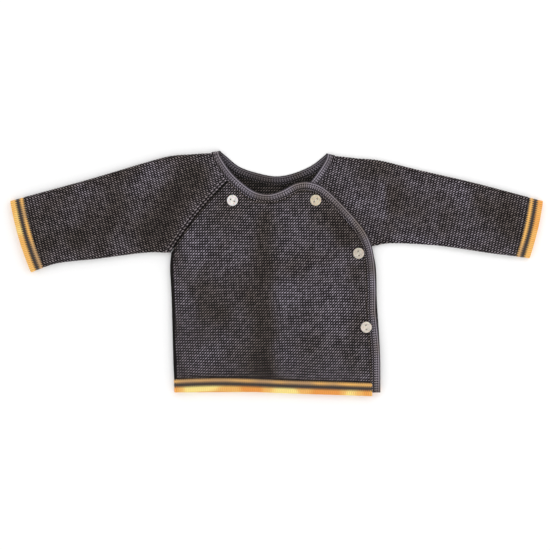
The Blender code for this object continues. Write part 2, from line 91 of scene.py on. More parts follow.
def smoothLine(spots, samples=240):
    # Catmull-Rom: p(t) = (2b + (c-a)t + (2a-5b+4c-d)t^2 + (3b-a-3c+d)t^3) / 2
    points = np.array(list(spots.values())) * mm
    padded = np.vstack([2 * points[0] - points[1], points, 2 * points[-1] - points[-2]])
    a, b, c, d = (padded[k:len(padded) - 3 + k, None] for k in range(4))
    t = np.linspace(0, 1, 24, endpoint=False)[None, :, None]
    bends = 0.5 * (2 * b + (c - a) * t + (2 * a - 5 * b + 4 * c - d) * t ** 2
                   + (3 * b - a - 3 * c + d) * t ** 3)
    return evenly(np.vstack([bends.reshape(-1, 2), points[-1:]]), samples)


def at(line, fraction):
    index = np.asarray(fraction) * (len(line) - 1)
    return np.stack([np.interp(index, np.arange(len(line)), line[:, k]) for k in (0, 1)], axis=-1)


def lengthOf(line):
    return np.linalg.norm(np.diff(line, axis=0), axis=1).sum()


def stretch(line, start, end, samples=160):
    return at(line, np.linspace(start, end, samples))


def beside(line, distance):
    # each point moved to the left of the line by a distance
    tangent = np.gradient(line, axis=0)
    tangent /= np.linalg.norm(tangent, axis=1)[:, None]
    return line + np.stack([-tangent[:, 1], tangent[:, 0]], axis=1) * np.reshape(distance, (-1, 1))


def pinned(line, start=None, end=None, reach=0.06):
    # the ends eased onto given points: move times (1 - s / reach)^2
    s = np.linspace(0, 1, len(line))[:, None]
    moved = line.copy()
    if start is not None:
        moved += (start - line[0]) * np.clip(1 - s / reach, 0, 1) ** 2
    if end is not None:
        moved += (end - line[-1]) * np.clip(1 - (1 - s) / reach, 0, 1) ** 2
    return moved


def nearest(line, point):
    return np.argmin(np.linalg.norm(line - point, axis=1)) / (len(line) - 1)


def bowed(start, end, bow=0.0, samples=60):
    # a chord with a parabola of that height to its left: 4 s (1 - s)
    s = np.linspace(0, 1, samples)[:, None]
    chord = end - start
    normal = np.array([-chord[1], chord[0]]) / np.linalg.norm(chord)
    return start + chord * s + normal * bow * 4 * s * (1 - s)


def patch(low, high, first, last, u, v):
    # Coons patch: (1-v) low(u) + v high(u) + (1-u) first(v) + u last(v) - corners
    ends = ((1 - u) * (1 - v))[..., None] * low[0] + (u * (1 - v))[..., None] * low[-1]
    ends = ends + ((1 - u) * v)[..., None] * high[0] + (u * v)[..., None] * high[-1]
    along = (1 - v)[..., None] * at(low, u) + v[..., None] * at(high, u)
    across = (1 - u)[..., None] * at(first, v) + u[..., None] * at(last, v)
    return along + across - ends


def raised(plan, z):
    # plan places with their heights as a third coordinate
    return np.concatenate([plan, np.broadcast_to(z, plan.shape[:-1])[..., None]], axis=-1)


def flatArea(*lines):
    # shoelace: |sum(x y' - x' y)| / 2 round the lines end to end
    x, y = np.vstack(lines).T
    return abs(np.sum(x * np.roll(y, -1) - np.roll(x, -1) * y)) / 2


def ease(x, start, end):
    # 3t^2 - 2t^3 between start and end
    t = np.clip((x - start) / (end - start), 0, 1)
    return t * t * (3 - 2 * t)


def bell(x, width):
    # exp(-(x / width)^2)
    return np.exp(-(x / width) ** 2)


def across(line, key, value):
    # a coordinate of the line where its other coordinate has the values asked for
    order = np.argsort(line[:, key], kind="stable")
    return np.interp(value, line[order, key], line[order, 1 - key])


def creases(plan, rows):
    # sum of height * exp(-(distance to the crease / width)^2), fading at the crease's ends
    rise = np.zeros(plan.shape[:-1])
    for x0, y0, x1, y1, width, height in rows:
        start, chord = place(x0, y0), place(x1, y1) - place(x0, y0)
        s = ((plan - start) @ chord) / (chord @ chord)
        off = np.linalg.norm(plan - (start + np.clip(s, 0, 1)[..., None] * chord), axis=-1)
        rise = rise + height * bell(off, width * mm)
    return rise


def distanceTo(line, plan):
    # distance to the nearest point of the line, and how far along the line that point is
    along = np.linspace(0, lengthOf(line), len(line))
    flat = plan.reshape(-1, 2)
    best = np.full(len(flat), np.inf)
    where = np.zeros(len(flat))
    for point, reached in zip(line, along):
        gap = np.hypot(flat[:, 0] - point[0], flat[:, 1] - point[1])
        closer = gap < best
        best[closer], where[closer] = gap[closer], reached
    return best.reshape(plan.shape[:-1]), where.reshape(plan.shape[:-1])


# Folds

def foldFigures(layer, middle):
    # radius of a side fold, the cloth's length in it, and how much more that is than its run
    foot = cloth["gap"] / 2 + cloth["foldSkirt"]
    radius = np.abs(layer - middle) - foot
    taken = cloth["foldSkirt"] + np.pi / 2 * radius
    return radius, taken, taken - radius


def sideFold(e, layer, middle):
    # e runs along the cloth from the seam: upright, then r(1 - cos), r sin, then flat
    radius, taken, _ = foldFigures(layer, middle)
    angle = np.clip((e - cloth["foldSkirt"]) / radius, 0, np.pi / 2)
    inward = half + radius * (1 - np.cos(angle)) + np.maximum(0, e - taken)
    rise = cloth["gap"] / 2 + np.minimum(e, cloth["foldSkirt"]) + radius * np.sin(angle)
    return inward, middle + np.sign(layer - middle) * rise


def foldedEnds(s, total, layer, middles):
    # where cloth with its length s lies, and how high, when either end turns into a side fold
    run, z = s.copy(), np.full(s.shape, layer)
    for e, middle, edge, inwards in ((s - s[0], middles[0], 0, 1),
                                     (s[-1] - s, middles[1], total, -1)):
        if middle:
            inward, height = sideFold(e, layer, middle)
            near = e < 2 * foldFigures(layer, middle)[1]
            run = np.where(near, edge + inwards * inward, run)
            z = np.where(near, height, z)
    return run, z


def topFold(e, radius):
    # e runs along the cloth from the crest of a sleeve's top fold: how far that is in from
    # the arm's upper line, r(1 - cos) and then flat, and how far from the middle height, r sin
    bend = np.clip(e / radius, 0, np.pi / 2)
    inward = half + radius * (1 - np.cos(bend)) + np.maximum(0, e - np.pi / 2 * radius)
    return inward, radius * np.sin(bend)


# The knit's relief: the weights of its four crossing waves
garterWaves = {"slant": 2.1, "ridge": 1.0, "counterSlant": 0.8, "stitch": 0.15}
garterTop = sum(garterWaves.values())


def garter(a, b):
    # a counts stitches and b ridges: slanted bumps, 1 at their tops, as the sum of
    # weight * cos(turn * phase)
    phases = {"slant": a - b, "ridge": b, "counterSlant": a + b, "stitch": a}
    return sum(garterWaves[k] * np.cos(turn * phases[k]) for k in garterWaves) / garterTop


def wavy(points, size, seed):
    # slow sideways wander of the rows: two crossed sines in each direction
    x, y = points[..., 0], points[..., 1]
    return size * np.stack([
        np.sin(turn * (x / 0.131 + y / 0.083 + seed)) + 0.6 * np.sin(turn * (y / 0.049 + 2 * seed)),
        np.sin(turn * (x / 0.097 - y / 0.117 + 3 * seed)) + 0.6 * np.sin(turn * (x / 0.061 + seed)),
    ], axis=-1)


# Meshes

def placed(name, data):
    thing = bpy.data.objects.new(name, data)
    bpy.context.scene.collection.objects.link(thing)
    return thing


def sewnMesh(name, vertices, faces, uv, marks, finish):
    # faces is a list of arrays of equal corners each
    corners = np.concatenate([f.ravel() for f in faces])
    sizes = np.concatenate([np.full(len(f), f.shape[1]) for f in faces])
    mesh = bpy.data.meshes.new(name)
    mesh.vertices.add(len(vertices))
    mesh.vertices.foreach_set("co", vertices.astype(np.float32).ravel())
    mesh.loops.add(len(corners))
    mesh.loops.foreach_set("vertex_index", corners.astype(np.int32))
    mesh.polygons.add(len(sizes))
    starts = np.concatenate([[0], np.cumsum(sizes)[:-1]])
    mesh.polygons.foreach_set("loop_start", starts.astype(np.int32))
    mesh.update(calc_edges=True)
    layer = mesh.uv_layers.new(name="stitches")
    layer.data.foreach_set("uv", uv[corners].astype(np.float32).ravel())
    for label, values in marks.items():
        mark = mesh.attributes.new(label, "FLOAT", "POINT")
        mark.data.foreach_set("value", values.astype(np.float32))
    mesh.materials.append(finish)
    mesh.shade_smooth()
    return placed(name, mesh)


def unit(vectors):
    return vectors / np.maximum(np.linalg.norm(vectors, axis=1), 1e-12)[:, None]


def gathered(corners, values, count):
    # sum of the values at each vertex
    return np.stack([np.bincount(corners, values[:, k], count) for k in range(3)], axis=1)


def joinedGrid(stitch, turned):
    # a grid whose places of equal stitch are one vertex: which places those vertices have,
    # their stitches, and the quads and triangles between them, without those of no area
    keys = np.round(stitch.reshape(-1, 2) * 20000).astype(np.int64)     # to 1/20000 stitch
    rowKey = 4000003                                                    # more than any key
    _, first, which = np.unique(keys[:, 0] * rowKey + keys[:, 1], return_index=True,
                                return_inverse=True)
    grid = which.reshape(stitch.shape[:2])
    quads = np.stack([grid[:-1, :-1], grid[:-1, 1:], grid[1:, 1:], grid[1:, :-1]], axis=-1)
    quads = quads.reshape(-1, 4)
    same = quads == np.roll(quads, -1, axis=1)
    folded = (quads[:, 0] == quads[:, 2]) | (quads[:, 1] == quads[:, 3])
    triangles = quads[(same.sum(1) == 1) & ~folded]
    triangles = triangles[~same[(same.sum(1) == 1) & ~folded]].reshape(-1, 3)
    quads = quads[(same.sum(1) == 0) & ~folded]
    spot = stitch.reshape(-1, 2)[first]

    def area(face):
        a, b, c = (spot[face[:, k]] for k in (0, 1, 2))
        return (b - a)[:, 0] * (c - a)[:, 1] - (b - a)[:, 1] * (c - a)[:, 0]

    triangles = triangles[area(triangles) > 1e-6]
    split = (area(quads) > 1e-6) & (area(quads[:, [0, 2, 3]]) > 1e-6)
    leaning = quads[~split]
    extra = [leaning[:, pick][area(leaning[:, pick]) > 1e-6] for pick in ([0, 1, 3], [1, 2, 3])]
    triangles = np.concatenate([triangles, *extra])
    quads = quads[split]
    if turned:
        quads, triangles = quads[:, ::-1], triangles[:, ::-1]

    used = np.unique(np.concatenate([quads.ravel(), triangles.ravel()]))
    fresh = np.full(len(first), -1)
    fresh[used] = np.arange(len(used))
    return first[used], spot[used], fresh[quads], fresh[triangles]


def vertexNormals(centre, quads, triangles):
    # unit sum of the normals of the faces round each vertex, by their areas
    fours = np.cross(centre[quads[:, 2]] - centre[quads[:, 0]],
                     centre[quads[:, 3]] - centre[quads[:, 1]])
    threes = np.cross(centre[triangles[:, 1]] - centre[triangles[:, 0]],
                      centre[triangles[:, 2]] - centre[triangles[:, 0]])
    pairs = [(quads[:, k], fours) for k in range(4)] + [(triangles[:, k], threes) for k in range(3)]
    return unit(sum(gathered(corners, values, len(centre)) for corners, values in pairs))


def closedShell(name, middle, stitch, lift, finish, turned=False, innerEvery=8, bulge=0.1 * mm,
                marks=None):
    # A wall of cloth from a grid of its middle. Outer face = middle + normal * lift,
    # inner face = middle - normal * half on every innerEvery-th line, and between them
    # a half-round rim that stands out by bulge.
    pick, spot, quads, triangles = joinedGrid(stitch, turned)
    centre, out = middle.reshape(-1, 3)[pick], lift.ravel()[pick]
    count = len(centre)
    normal = vertexNormals(centre, quads, triangles)

    # the rim: edges that only one face has
    ends = np.concatenate([np.stack([f[:, k], f[:, (k + 1) % f.shape[1]]], axis=1)
                           for f in (quads, triangles) for k in range(f.shape[1])])
    codes = ends[:, 0] * count + ends[:, 1]
    rim = ends[~np.isin(ends[:, 1] * count + ends[:, 0], codes)]
    onRim = np.unique(rim)
    chord = centre[rim[:, 1]] - centre[rim[:, 0]]
    side = unit(np.cross(chord, normal[rim[:, 0]]))
    outward = unit(gathered(rim[:, 0], side, count) + gathered(rim[:, 1], side, count))[onRim]
    ring = np.full(count, -1)
    ring[onRim] = np.arange(len(onRim))

    # inner face: the rim and a coarse choice of the lines, joined by Delaunay triangles
    r, c = np.divmod(pick, stitch.shape[1])
    coarse = (r % innerEvery == 0) & (c % innerEvery == 0) & (ring < 0)
    inside = np.flatnonzero(coarse)
    chosen = np.concatenate([onRim, inside])
    flat = [tuple(p) for p in spot[chosen].tolist()]
    made = delaunay_2d_cdt(flat, ring[rim].tolist(), [], 1, 1e-7)
    source = np.array([o[0] for o in made[3]])
    inner = source[np.array(made[2])]
    if not turned:
        inner = inner[:, ::-1]

    middles, halves = (out[onRim] - half) / 2, (out[onRim] + half) / 2
    rings = [centre[onRim] + normal[onRim] * (middles + halves * np.cos(p))[:, None]
             + outward * bulge * np.sin(p) for p in np.radians([45, 90, 135])]
    vertices = np.concatenate([centre + normal * out[:, None], *rings,
                               centre[chosen] - normal[chosen] * half])
    levels = [onRim] + [count + k * len(onRim) + np.arange(len(onRim)) for k in range(4)]
    a, b = ring[rim[:, 0]], ring[rim[:, 1]]
    bands = [np.stack([top[b], top[a], low[a], low[b]], axis=1)
             for top, low in zip(levels, levels[1:])]
    inner = inner + count + 3 * len(onRim)
    uv = np.concatenate([spot, *[spot[onRim]] * 3, spot[chosen]])
    marks = {label: np.concatenate([v.ravel()[pick], *[v.ravel()[pick][onRim]] * 3,
                                    v.ravel()[pick][chosen]])
             for label, v in (marks or {}).items()}
    faces = [quads, triangles, *bands, inner]
    piece = sewnMesh(name, vertices, [f for f in faces if len(f)], uv, marks, finish)
    print(f"{name}: {2 * len(quads) + len(triangles) + 8 * len(rim) + len(inner)} triangles")
    return piece


def assign(piece, name):
    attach(piece, "root")
    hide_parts(name)
    return piece


def spread(low, high, step):
    # multiples of the step that cover low to high
    return np.arange(np.floor(low / step), np.ceil(high / step) + 1) * step


# Finishes: groups that several of them share

def group(name, inputs, outputs):
    tree = bpy.data.node_groups.new(name, "ShaderNodeTree")
    for label, kind, value in inputs:
        socket = tree.interface.new_socket(name=label, in_out="INPUT", socket_type=kind)
        if value is not None:
            socket.default_value = value
    for label, kind in outputs:
        tree.interface.new_socket(name=label, in_out="OUTPUT", socket_type=kind)
    return tree, tree.nodes.new("NodeGroupInput").outputs, tree.nodes.new("NodeGroupOutput").inputs


def feed(tree, socket, value):
    # a socket is linked to an output or given a value
    if isinstance(value, bpy.types.NodeSocket):
        tree.links.new(value, socket)
    else:
        socket.default_value = value


def put(tree, kind, settings=None, **sockets):
    # a node with its settings; i0, i1 and so on are its inputs by number
    node = tree.nodes.new(kind)
    for label, value in (settings or {}).items():
        setattr(node, label, value)
    for label, value in sockets.items():
        numbered = label[0] == "i" and label[1:].isdigit()
        feed(tree, node.inputs[int(label[1:]) if numbered else label], value)
    return node


def sums(tree, operation, *values):
    # a chain of one math operation over values and outputs
    result = values[0]
    for value in values[1:]:
        result = put(tree, "ShaderNodeMath", {"operation": operation}, i0=result, i1=value).outputs[0]
    return result


def wave(tree, x, share):
    # share * cos(turn * x)
    angle = sums(tree, "MULTIPLY", x, float(turn))
    swing = put(tree, "ShaderNodeMath", {"operation": "COSINE"}, i0=angle).outputs[0]
    return sums(tree, "MULTIPLY", swing, share)


def ranged(tree, value, low, high, newLow=0.0, newHigh=1.0, smooth=True):
    # low to high becomes newLow to newHigh, and stays there beyond them
    kind = "SMOOTHSTEP" if smooth else "LINEAR"
    return put(tree, "ShaderNodeMapRange", {"interpolation_type": kind}, i0=value, i1=low, i2=high,
               i3=newLow, i4=newHigh).outputs[0]


def mixed(tree, factor, first, second, blend="MIX"):
    node = put(tree, "ShaderNodeMix", {"data_type": "RGBA", "blend_type": blend})
    for k, value in ((0, factor), (6, first), (7, second)):
        feed(tree, node.inputs[k], value)
    return node.outputs[2]


def buildGarterGroup():
    # the same waves as garter's, with plies along the bumps and a value for each stitch
    tree, given, made = group("garterStitch", [
        ("Stitches", "NodeSocketVector", None), ("Ply", "NodeSocketFloat", 0.12),
    ], [("Height", "NodeSocketFloat"), ("Stitch Value", "NodeSocketFloat")])
    apart = put(tree, "ShaderNodeSeparateXYZ", i0=given[0])
    a, b = apart.outputs[0], apart.outputs[1]
    phases = {"slant": sums(tree, "SUBTRACT", a, b), "ridge": b,
              "counterSlant": sums(tree, "ADD", a, b), "stitch": a}
    waves = sums(tree, "ADD", *[wave(tree, phases[k], weight / garterTop)
                                for k, weight in garterWaves.items()])
    ply = wave(tree, sums(tree, "ADD", sums(tree, "MULTIPLY", a, 4.0), b), 1.0)
    tree.links.new(sums(tree, "ADD", waves, sums(tree, "MULTIPLY", ply, given[1])), made[0])
    centred = put(tree, "ShaderNodeVectorMath", {"operation": "ADD"}, i0=given[0], i1=(0.5, 0.5, 0))
    counted = put(tree, "ShaderNodeVectorMath", {"operation": "FLOOR"}, i0=centred.outputs[0])
    dots = put(tree, "ShaderNodeTexWhiteNoise", {"noise_dimensions": "2D"}, Vector=counted.outputs[0])
    tree.links.new(dots.outputs["Value"], made[1])
    return tree


def buildFuzzGroup():
    # wool fibre: fine noise stretched into short hairs, and broad uneven tone
    tree, given, made = group("woolFuzz", [
        ("Grain", "NodeSocketFloat", 2600.0), ("Patch", "NodeSocketFloat", 22.0),
    ], [("Fibre", "NodeSocketFloat"), ("Tone", "NodeSocketFloat"), ("Hue", "NodeSocketFloat")])
    spot = put(tree, "ShaderNodeTexCoord").outputs["Object"]
    fibre = put(tree, "ShaderNodeTexNoise", Vector=spot, Scale=given[0], Detail=2.0, Roughness=0.7)
    toneAndPaintedShading = put(tree, "ShaderNodeTexNoise", Vector=spot, Scale=given[1], Detail=2.0, Roughness=0.55)
    shifted = put(tree, "ShaderNodeVectorMath", {"operation": "ADD"}, i0=spot, i1=(3.1, 1.7, 0.4))
    hue = put(tree, "ShaderNodeTexNoise", Vector=shifted.outputs[0], Scale=given[1], Detail=1.0,
              Roughness=0.5)
    for k, source in enumerate((fibre, toneAndPaintedShading, hue)):
        tree.links.new(source.outputs[0], made[k])
    return tree


garterGroup, fuzzGroup = buildGarterGroup(), buildFuzzGroup()


def newFinish(name, roughness, sheen=0.0, coat=0.0):
    material = bpy.data.materials.new(name)
    material.use_nodes = True
    shader = material.node_tree.nodes["Principled BSDF"]
    shader.inputs["Roughness"].default_value = roughness
    shader.inputs["Sheen Weight"].default_value = sheen
    shader.inputs["Sheen Roughness"].default_value = 0.5
    shader.inputs["Coat Weight"].default_value = coat
    return material, material.node_tree, shader


def attribute(tree, label):
    return put(tree, "ShaderNodeAttribute", {"attribute_name": label}).outputs["Fac"]


def groupNode(tree, made, **sockets):
    return put(tree, "ShaderNodeGroup", {"node_tree": made}, **sockets)


def stitchPlaces(tree):
    # the stitch map, and its two counts apart
    stitches = put(tree, "ShaderNodeUVMap", {"uv_map": "stitches"}).outputs[0]
    apart = put(tree, "ShaderNodeSeparateXYZ", i0=stitches)
    return stitches, apart.outputs[0], apart.outputs[1]


def wholeFinish(material, tree, shader, colour, gain, height, depth):
    # the colour times its gain, and the bump of the height
    if isinstance(gain, bpy.types.NodeSocket):
        gain = put(tree, "ShaderNodeCombineColor", i0=gain, i1=gain, i2=gain).outputs[0]
    tree.links.new(mixed(tree, 1.0, colour, gain, "MULTIPLY"), shader.inputs["Base Color"])
    bump = put(tree, "ShaderNodeBump", Strength=0.5, Distance=depth, Height=height)
    tree.links.new(bump.outputs[0], shader.inputs["Normal"])
    return material


# Charcoal wool, from the holes between the stitches up to their crowns. The hole colour is painted
# shade, the crown and edge colours are painted highlight, and brown and lilac tint the cloth by its
# painted shading and its random tone
wool = {
    "hole": (0.0012, 0.0009, 0.0009, 1),
    "body": (0.0095, 0.0083, 0.0088, 1),
    "crown": (0.47, 0.435, 0.47, 1),
    "band": (0.092, 0.085, 0.093, 1),
    "edge": (0.50, 0.475, 0.51, 1),
    "brown": (0.80, 0.70, 0.60, 1),
    "lilac": (1.05, 1.0, 1.10, 1),
    "bodyFrom": (-0.55, 0.05),      # relief over which a hole turns into the body of a stitch
    "crownFrom": (0.07, 0.93),      # and that into its crown
    "grain": 2600.0,                # scale of the single fibres
    "fibre": 0.55,                  # how much they roughen the relief
    "ply": 0.10,
}


def newWool(name):
    material, tree, shader = newFinish(name, 0.92, sheen=0.05)
    shader.inputs["Specular IOR Level"].default_value = 0.15
    return material, tree, shader


def paintedStitchShading(tree, height):
    # painted shade in the holes and painted highlight on the crowns, by the relief's height
    low = mixed(tree, ranged(tree, height, *wool["bodyFrom"]), wool["hole"], wool["body"])
    return mixed(tree, ranged(tree, height, *wool["crownFrom"]), low, wool["crown"])


def woolFinish(name):
    # garter knit in charcoal wool: painted shade in the dark holes, painted highlight on the lit
    # crowns, and painted light and shade over the cloth from its marks, warmer where these and the
    # random tone are low
    material, tree, shader = newWool(name)
    stitches, _, _ = stitchPlaces(tree)
    knit = groupNode(tree, garterGroup, Stitches=stitches, Ply=wool["ply"])
    fuzz = groupNode(tree, fuzzGroup, Grain=wool["grain"], Patch=21.0)
    plain, toneAndPaintedShading = attribute(tree, "plain"), attribute(tree, "toneAndPaintedShading")
    fibre = sums(tree, "SUBTRACT", fuzz.outputs["Fibre"], 0.5)
    height = sums(tree, "ADD", knit.outputs["Height"], sums(tree, "MULTIPLY", fibre, wool["fibre"]))
    stitchTone = ranged(tree, knit.outputs["Stitch Value"], 0.0, 1.0, -0.16, 0.16, smooth=False)
    height = sums(tree, "ADD", height, stitchTone)
    # where the cloth is plain, the chain mark sets the colour: painted shade in the raglan seam's
    # groove and painted highlight on its links
    chain = sums(tree, "ADD", attribute(tree, "chain"), sums(tree, "MULTIPLY", fibre, 0.5), -0.05)
    knitted = put(tree, "ShaderNodeMix", i0=plain, i2=height, i3=chain).outputs[0]
    # painted light and shade from the marks, plus a random tone, brighten or darken the colour and
    # tint it
    paintedShadingAndRandomTone = sums(tree, "ADD", toneAndPaintedShading, ranged(tree, fuzz.outputs["Tone"], 0.3, 0.7, -0.35, 0.35))
    tint = mixed(tree, ranged(tree, paintedShadingAndRandomTone, -0.9, 0.7), wool["brown"], wool["lilac"])
    paintedShadingAndToneGain = ranged(tree, paintedShadingAndRandomTone, -2.4, 1.2, 0.21, 1.30, smooth=False)
    colour = mixed(tree, 1.0, paintedStitchShading(tree, knitted), tint, "MULTIPLY")
    return wholeFinish(material, tree, shader, colour, paintedShadingAndToneGain, height, 0.35 * mm)


def ribFinish(name, gain=1.0):
    # charcoal rib: columns counted along the band, faint stitches across them,
    # and garter stitch again beside the seam
    material, tree, shader = newWool(name)
    stitches, a, b = stitchPlaces(tree)
    fuzz = groupNode(tree, fuzzGroup, Grain=wool["grain"], Patch=30.0)
    fibre = sums(tree, "SUBTRACT", fuzz.outputs["Fibre"], 0.5)
    height = sums(tree, "ADD", wave(tree, a, 0.34), wave(tree, sums(tree, "ADD", a, b), 0.22),
                  sums(tree, "MULTIPLY", fibre, 0.7))
    worn = ranged(tree, fuzz.outputs["Hue"], 0.3, 0.65, 0.3, 1.2)
    ribs = sums(tree, "MULTIPLY", attribute(tree, "ribs"), worn)
    height = sums(tree, "ADD", sums(tree, "MULTIPLY", height, ribs), attribute(tree, "shade"))
    # the shade mark and the ribs run the colour from painted shade in the hollows to painted highlight
    # on the ribs and on the rolls by the free edge; a gain below 1 darkens the whole rib as painted
    # shade
    low = mixed(tree, ranged(tree, height, -0.95, 0.0), wool["hole"], wool["band"])
    colour = mixed(tree, ranged(tree, height, 0.02, 0.9), low, wool["edge"])
    knit = groupNode(tree, garterGroup, Stitches=stitches, Ply=wool["ply"]).outputs["Height"]
    knit = sums(tree, "ADD", knit, sums(tree, "MULTIPLY", fibre, wool["fibre"]))
    colour = mixed(tree, ranged(tree, b, 1.35, 2.6), colour, paintedStitchShading(tree, knit))
    tint = mixed(tree, ranged(tree, fuzz.outputs["Tone"], 0.3, 0.7), wool["brown"], wool["lilac"])
    colour = mixed(tree, 1.0, colour, tint, "MULTIPLY")
    return wholeFinish(material, tree, shader, colour, (gain, gain, gain, 1), height, 0.3 * mm)


stripes = {
    "mustard": (0.84, 0.46, 0.12, 1),
    "orange": (0.80, 0.32, 0.06, 1),
    "yellow": (0.93, 0.74, 0.25, 1),
    "tan": (0.50, 0.30, 0.135, 1),
    "charcoal": (0.042, 0.032, 0.028, 1),
    "wideTop": 0.385,       # where each stripe ends, as a share of the trim's depth
    "darkTop": 0.71,
    "narrowTop": 0.955,
    "scallop": 0.20,        # how far the knitted stripes reach into each other
    "lean": 1.4,            # ribs that a stripe's teeth lean by over the trim's depth
    "blur": 0.012,          # half the width of a colour change, as a share of the depth
}


def trimFinish():
    # two mustard stripes with a charcoal one between, each reaching into the next by ribs
    material, tree, shader = newFinish("stripedTrim", 0.9, sheen=0.15)
    _, a, b = stitchPlaces(tree)
    fuzz = groupNode(tree, fuzzGroup, Grain=wool["grain"], Patch=26.0)
    fibre = sums(tree, "SUBTRACT", fuzz.outputs["Fibre"], 0.5)
    slant = sums(tree, "ADD", a, sums(tree, "MULTIPLY", b, stripes["lean"]))
    teeth = put(tree, "ShaderNodeMath", {"operation": "PINGPONG"}, i0=slant, i1=0.5).outputs[0]
    tooth = stripes["scallop"] / 2
    reach = ranged(tree, teeth, 0.0, 0.5, -tooth, tooth, smooth=False)
    level = sums(tree, "ADD", b, reach, sums(tree, "MULTIPLY", fibre, 0.02))
    patchTone = ranged(tree, fuzz.outputs["Tone"], 0.3, 0.7, -0.6, 0.6)
    hue = sums(tree, "ADD", attribute(tree, "hue"), patchTone)
    patches = mixed(tree, ranged(tree, hue, -0.9, 0.0), stripes["orange"], stripes["mustard"])
    colour = mixed(tree, ranged(tree, hue, 0.1, 0.9), patches, stripes["yellow"])
    tanPatches = ranged(tree, fuzz.outputs["Hue"], 0.4, 0.6)
    narrow = mixed(tree, tanPatches, stripes["tan"], stripes["mustard"])
    for top, above in (("wideTop", stripes["charcoal"]), ("darkTop", narrow),
                       ("narrowTop", stripes["charcoal"])):
        change = ranged(tree, level, stripes[top] - stripes["blur"], stripes[top] + stripes["blur"])
        colour = mixed(tree, change, colour, above)
    ribs = sums(tree, "ADD", wave(tree, a, 0.5), sums(tree, "MULTIPLY", fibre, 0.6))
    shade = ranged(tree, ribs, -0.75, 0.7, 0.76, 1.26)
    return wholeFinish(material, tree, shader, colour, shade, ribs, 0.3 * mm)


woolKnit, ribKnit = woolFinish("woolKnit"), ribFinish("ribKnit")
# the back neck band, seen inside the neck: the rib at half gain, as painted shade
shadedInsideRib, trimKnit = ribFinish("shadedInsideRib", 0.5), trimFinish()


# The front bands and the back neck band, as lines that the panels then meet

bands = {
    "width": 8.3 * mm,
    "rib": 2.6 * mm,         # pitch of its ribs
    "cells": 6,              # mesh cells to a rib
    "across": 14,            # mesh cells across the band
    "stitches": 3.0,         # stitches across the band
    "sunk": 0.30 * mm,       # how far its knit lies below the wall's face
    "roll": 0.34 * mm,       # height of its rolls
    "ribHeight": 0.16 * mm,
    "edgeDrop": 0.25 * mm,   # how far the outermost lines fall to the rim
    "cornerGap": 0.7,        # millimetres between a band's shoulder corner and the sleeve's
    "cornerDrop": 0.2,
}
overBandEdge = {
    "shoulder fold": (-62.0, 132.0), "below the fold": (-60.6, 126.0),
    "sleeve top": (-50.3, 110.5), "over the raglan seam": (-38.0, 98.2),
    "falling to the front neck": (-23.5, 88.2), "lowest neck": (-8.0, 85.2),
    "rising from the neck": (6.5, 89.4), "before the corner": (21.5, 97.0),
    "corner": (37.0, 98.0), "after the corner": (55.5, 89.0),
    "along the left raglan": (85.5, 58.3), "above the underarm": (99.5, 37.6),
    "below the underarm": (105.6, 13.4), "waist": (107.4, -18.0),
    "below the waist": (107.4, -41.0), "hip": (111.3, -84.0), "hem": (111.9, -128.4),
}
underBandEdge = {
    "shoulder fold": (55.0, 129.2), "below the fold": (53.6, 123.0), "sleeve top": (46.5, 111.2),
    "over the raglan seam": (35.0, 96.5), "falling to the front neck": (20.0, 84.0),
    "lowest neck": (2.0, 78.0), "rising from the neck": (-16.0, 81.0), "corner": (-33.0, 86.0),
    "after the corner": (-51.0, 79.0), "along the right raglan": (-79.0, 51.0),
    "below the underarm": (-97.0, 15.0), "waist": (-101.5, -25.0), "hem": (-101.0, -125.5),
}
backNeckEdge = {
    "right shoulder fold": (-61.6, 131.9), "right, below the fold": (-55.0, 126.6),
    "right raglan": (-40.0, 114.6), "right of the middle": (-19.0, 107.4),
    "middle back": (0.6, 104.2), "left of the middle": (19.5, 107.8), "left raglan": (37.5, 115.6),
    "left, below the fold": (49.5, 124.6), "left shoulder fold": (54.8, 129.2),
}
edgeSamples, neckSamples = 481, 241
rightShoulder, leftShoulder = place(-70.2, 129.9), place(63.2, 127.0)
rightCorner = rightShoulder + place(-bands["cornerGap"], -bands["cornerDrop"])
leftCorner = leftShoulder + place(bands["cornerGap"], -bands["cornerDrop"])
overEdge = smoothLine(overBandEdge, edgeSamples)
overSeam = pinned(beside(overEdge, -bands["width"]), start=rightShoulder)
overPanelEdge = pinned(beside(overSeam, -cloth["gap"]), start=rightCorner)
underEdge = smoothLine(underBandEdge, edgeSamples)
underSeam = pinned(beside(underEdge, bands["width"]), start=leftShoulder)
underPanelEdge = pinned(beside(underSeam, cloth["gap"]), start=leftCorner)
neckEdge = smoothLine(backNeckEdge, neckSamples)
neckSeam = np.vstack([rightShoulder, beside(neckEdge, -bands["width"]), leftShoulder])
neckSeam = evenly(neckSeam, neckSamples)
neckPanelEdge = np.vstack([rightCorner, beside(neckEdge, -bands["width"] - cloth["gap"]), leftCorner])
neckPanelEdge = evenly(neckPanelEdge, neckSamples)


def bandProfile(c):
    # two rolls beside the free edge, a dip on each side of them, and flat ribs to the seam
    outer = 1.0 * bell(c - 0.17, 0.075) - 0.65 * bell(c - 0.03, 0.045)
    second = 0.60 * bell(c - 0.42, 0.12)
    return outer + second - 0.9 * bell(c - 0.295, 0.055) - 0.2 * bell(c - 1.0, 0.10)


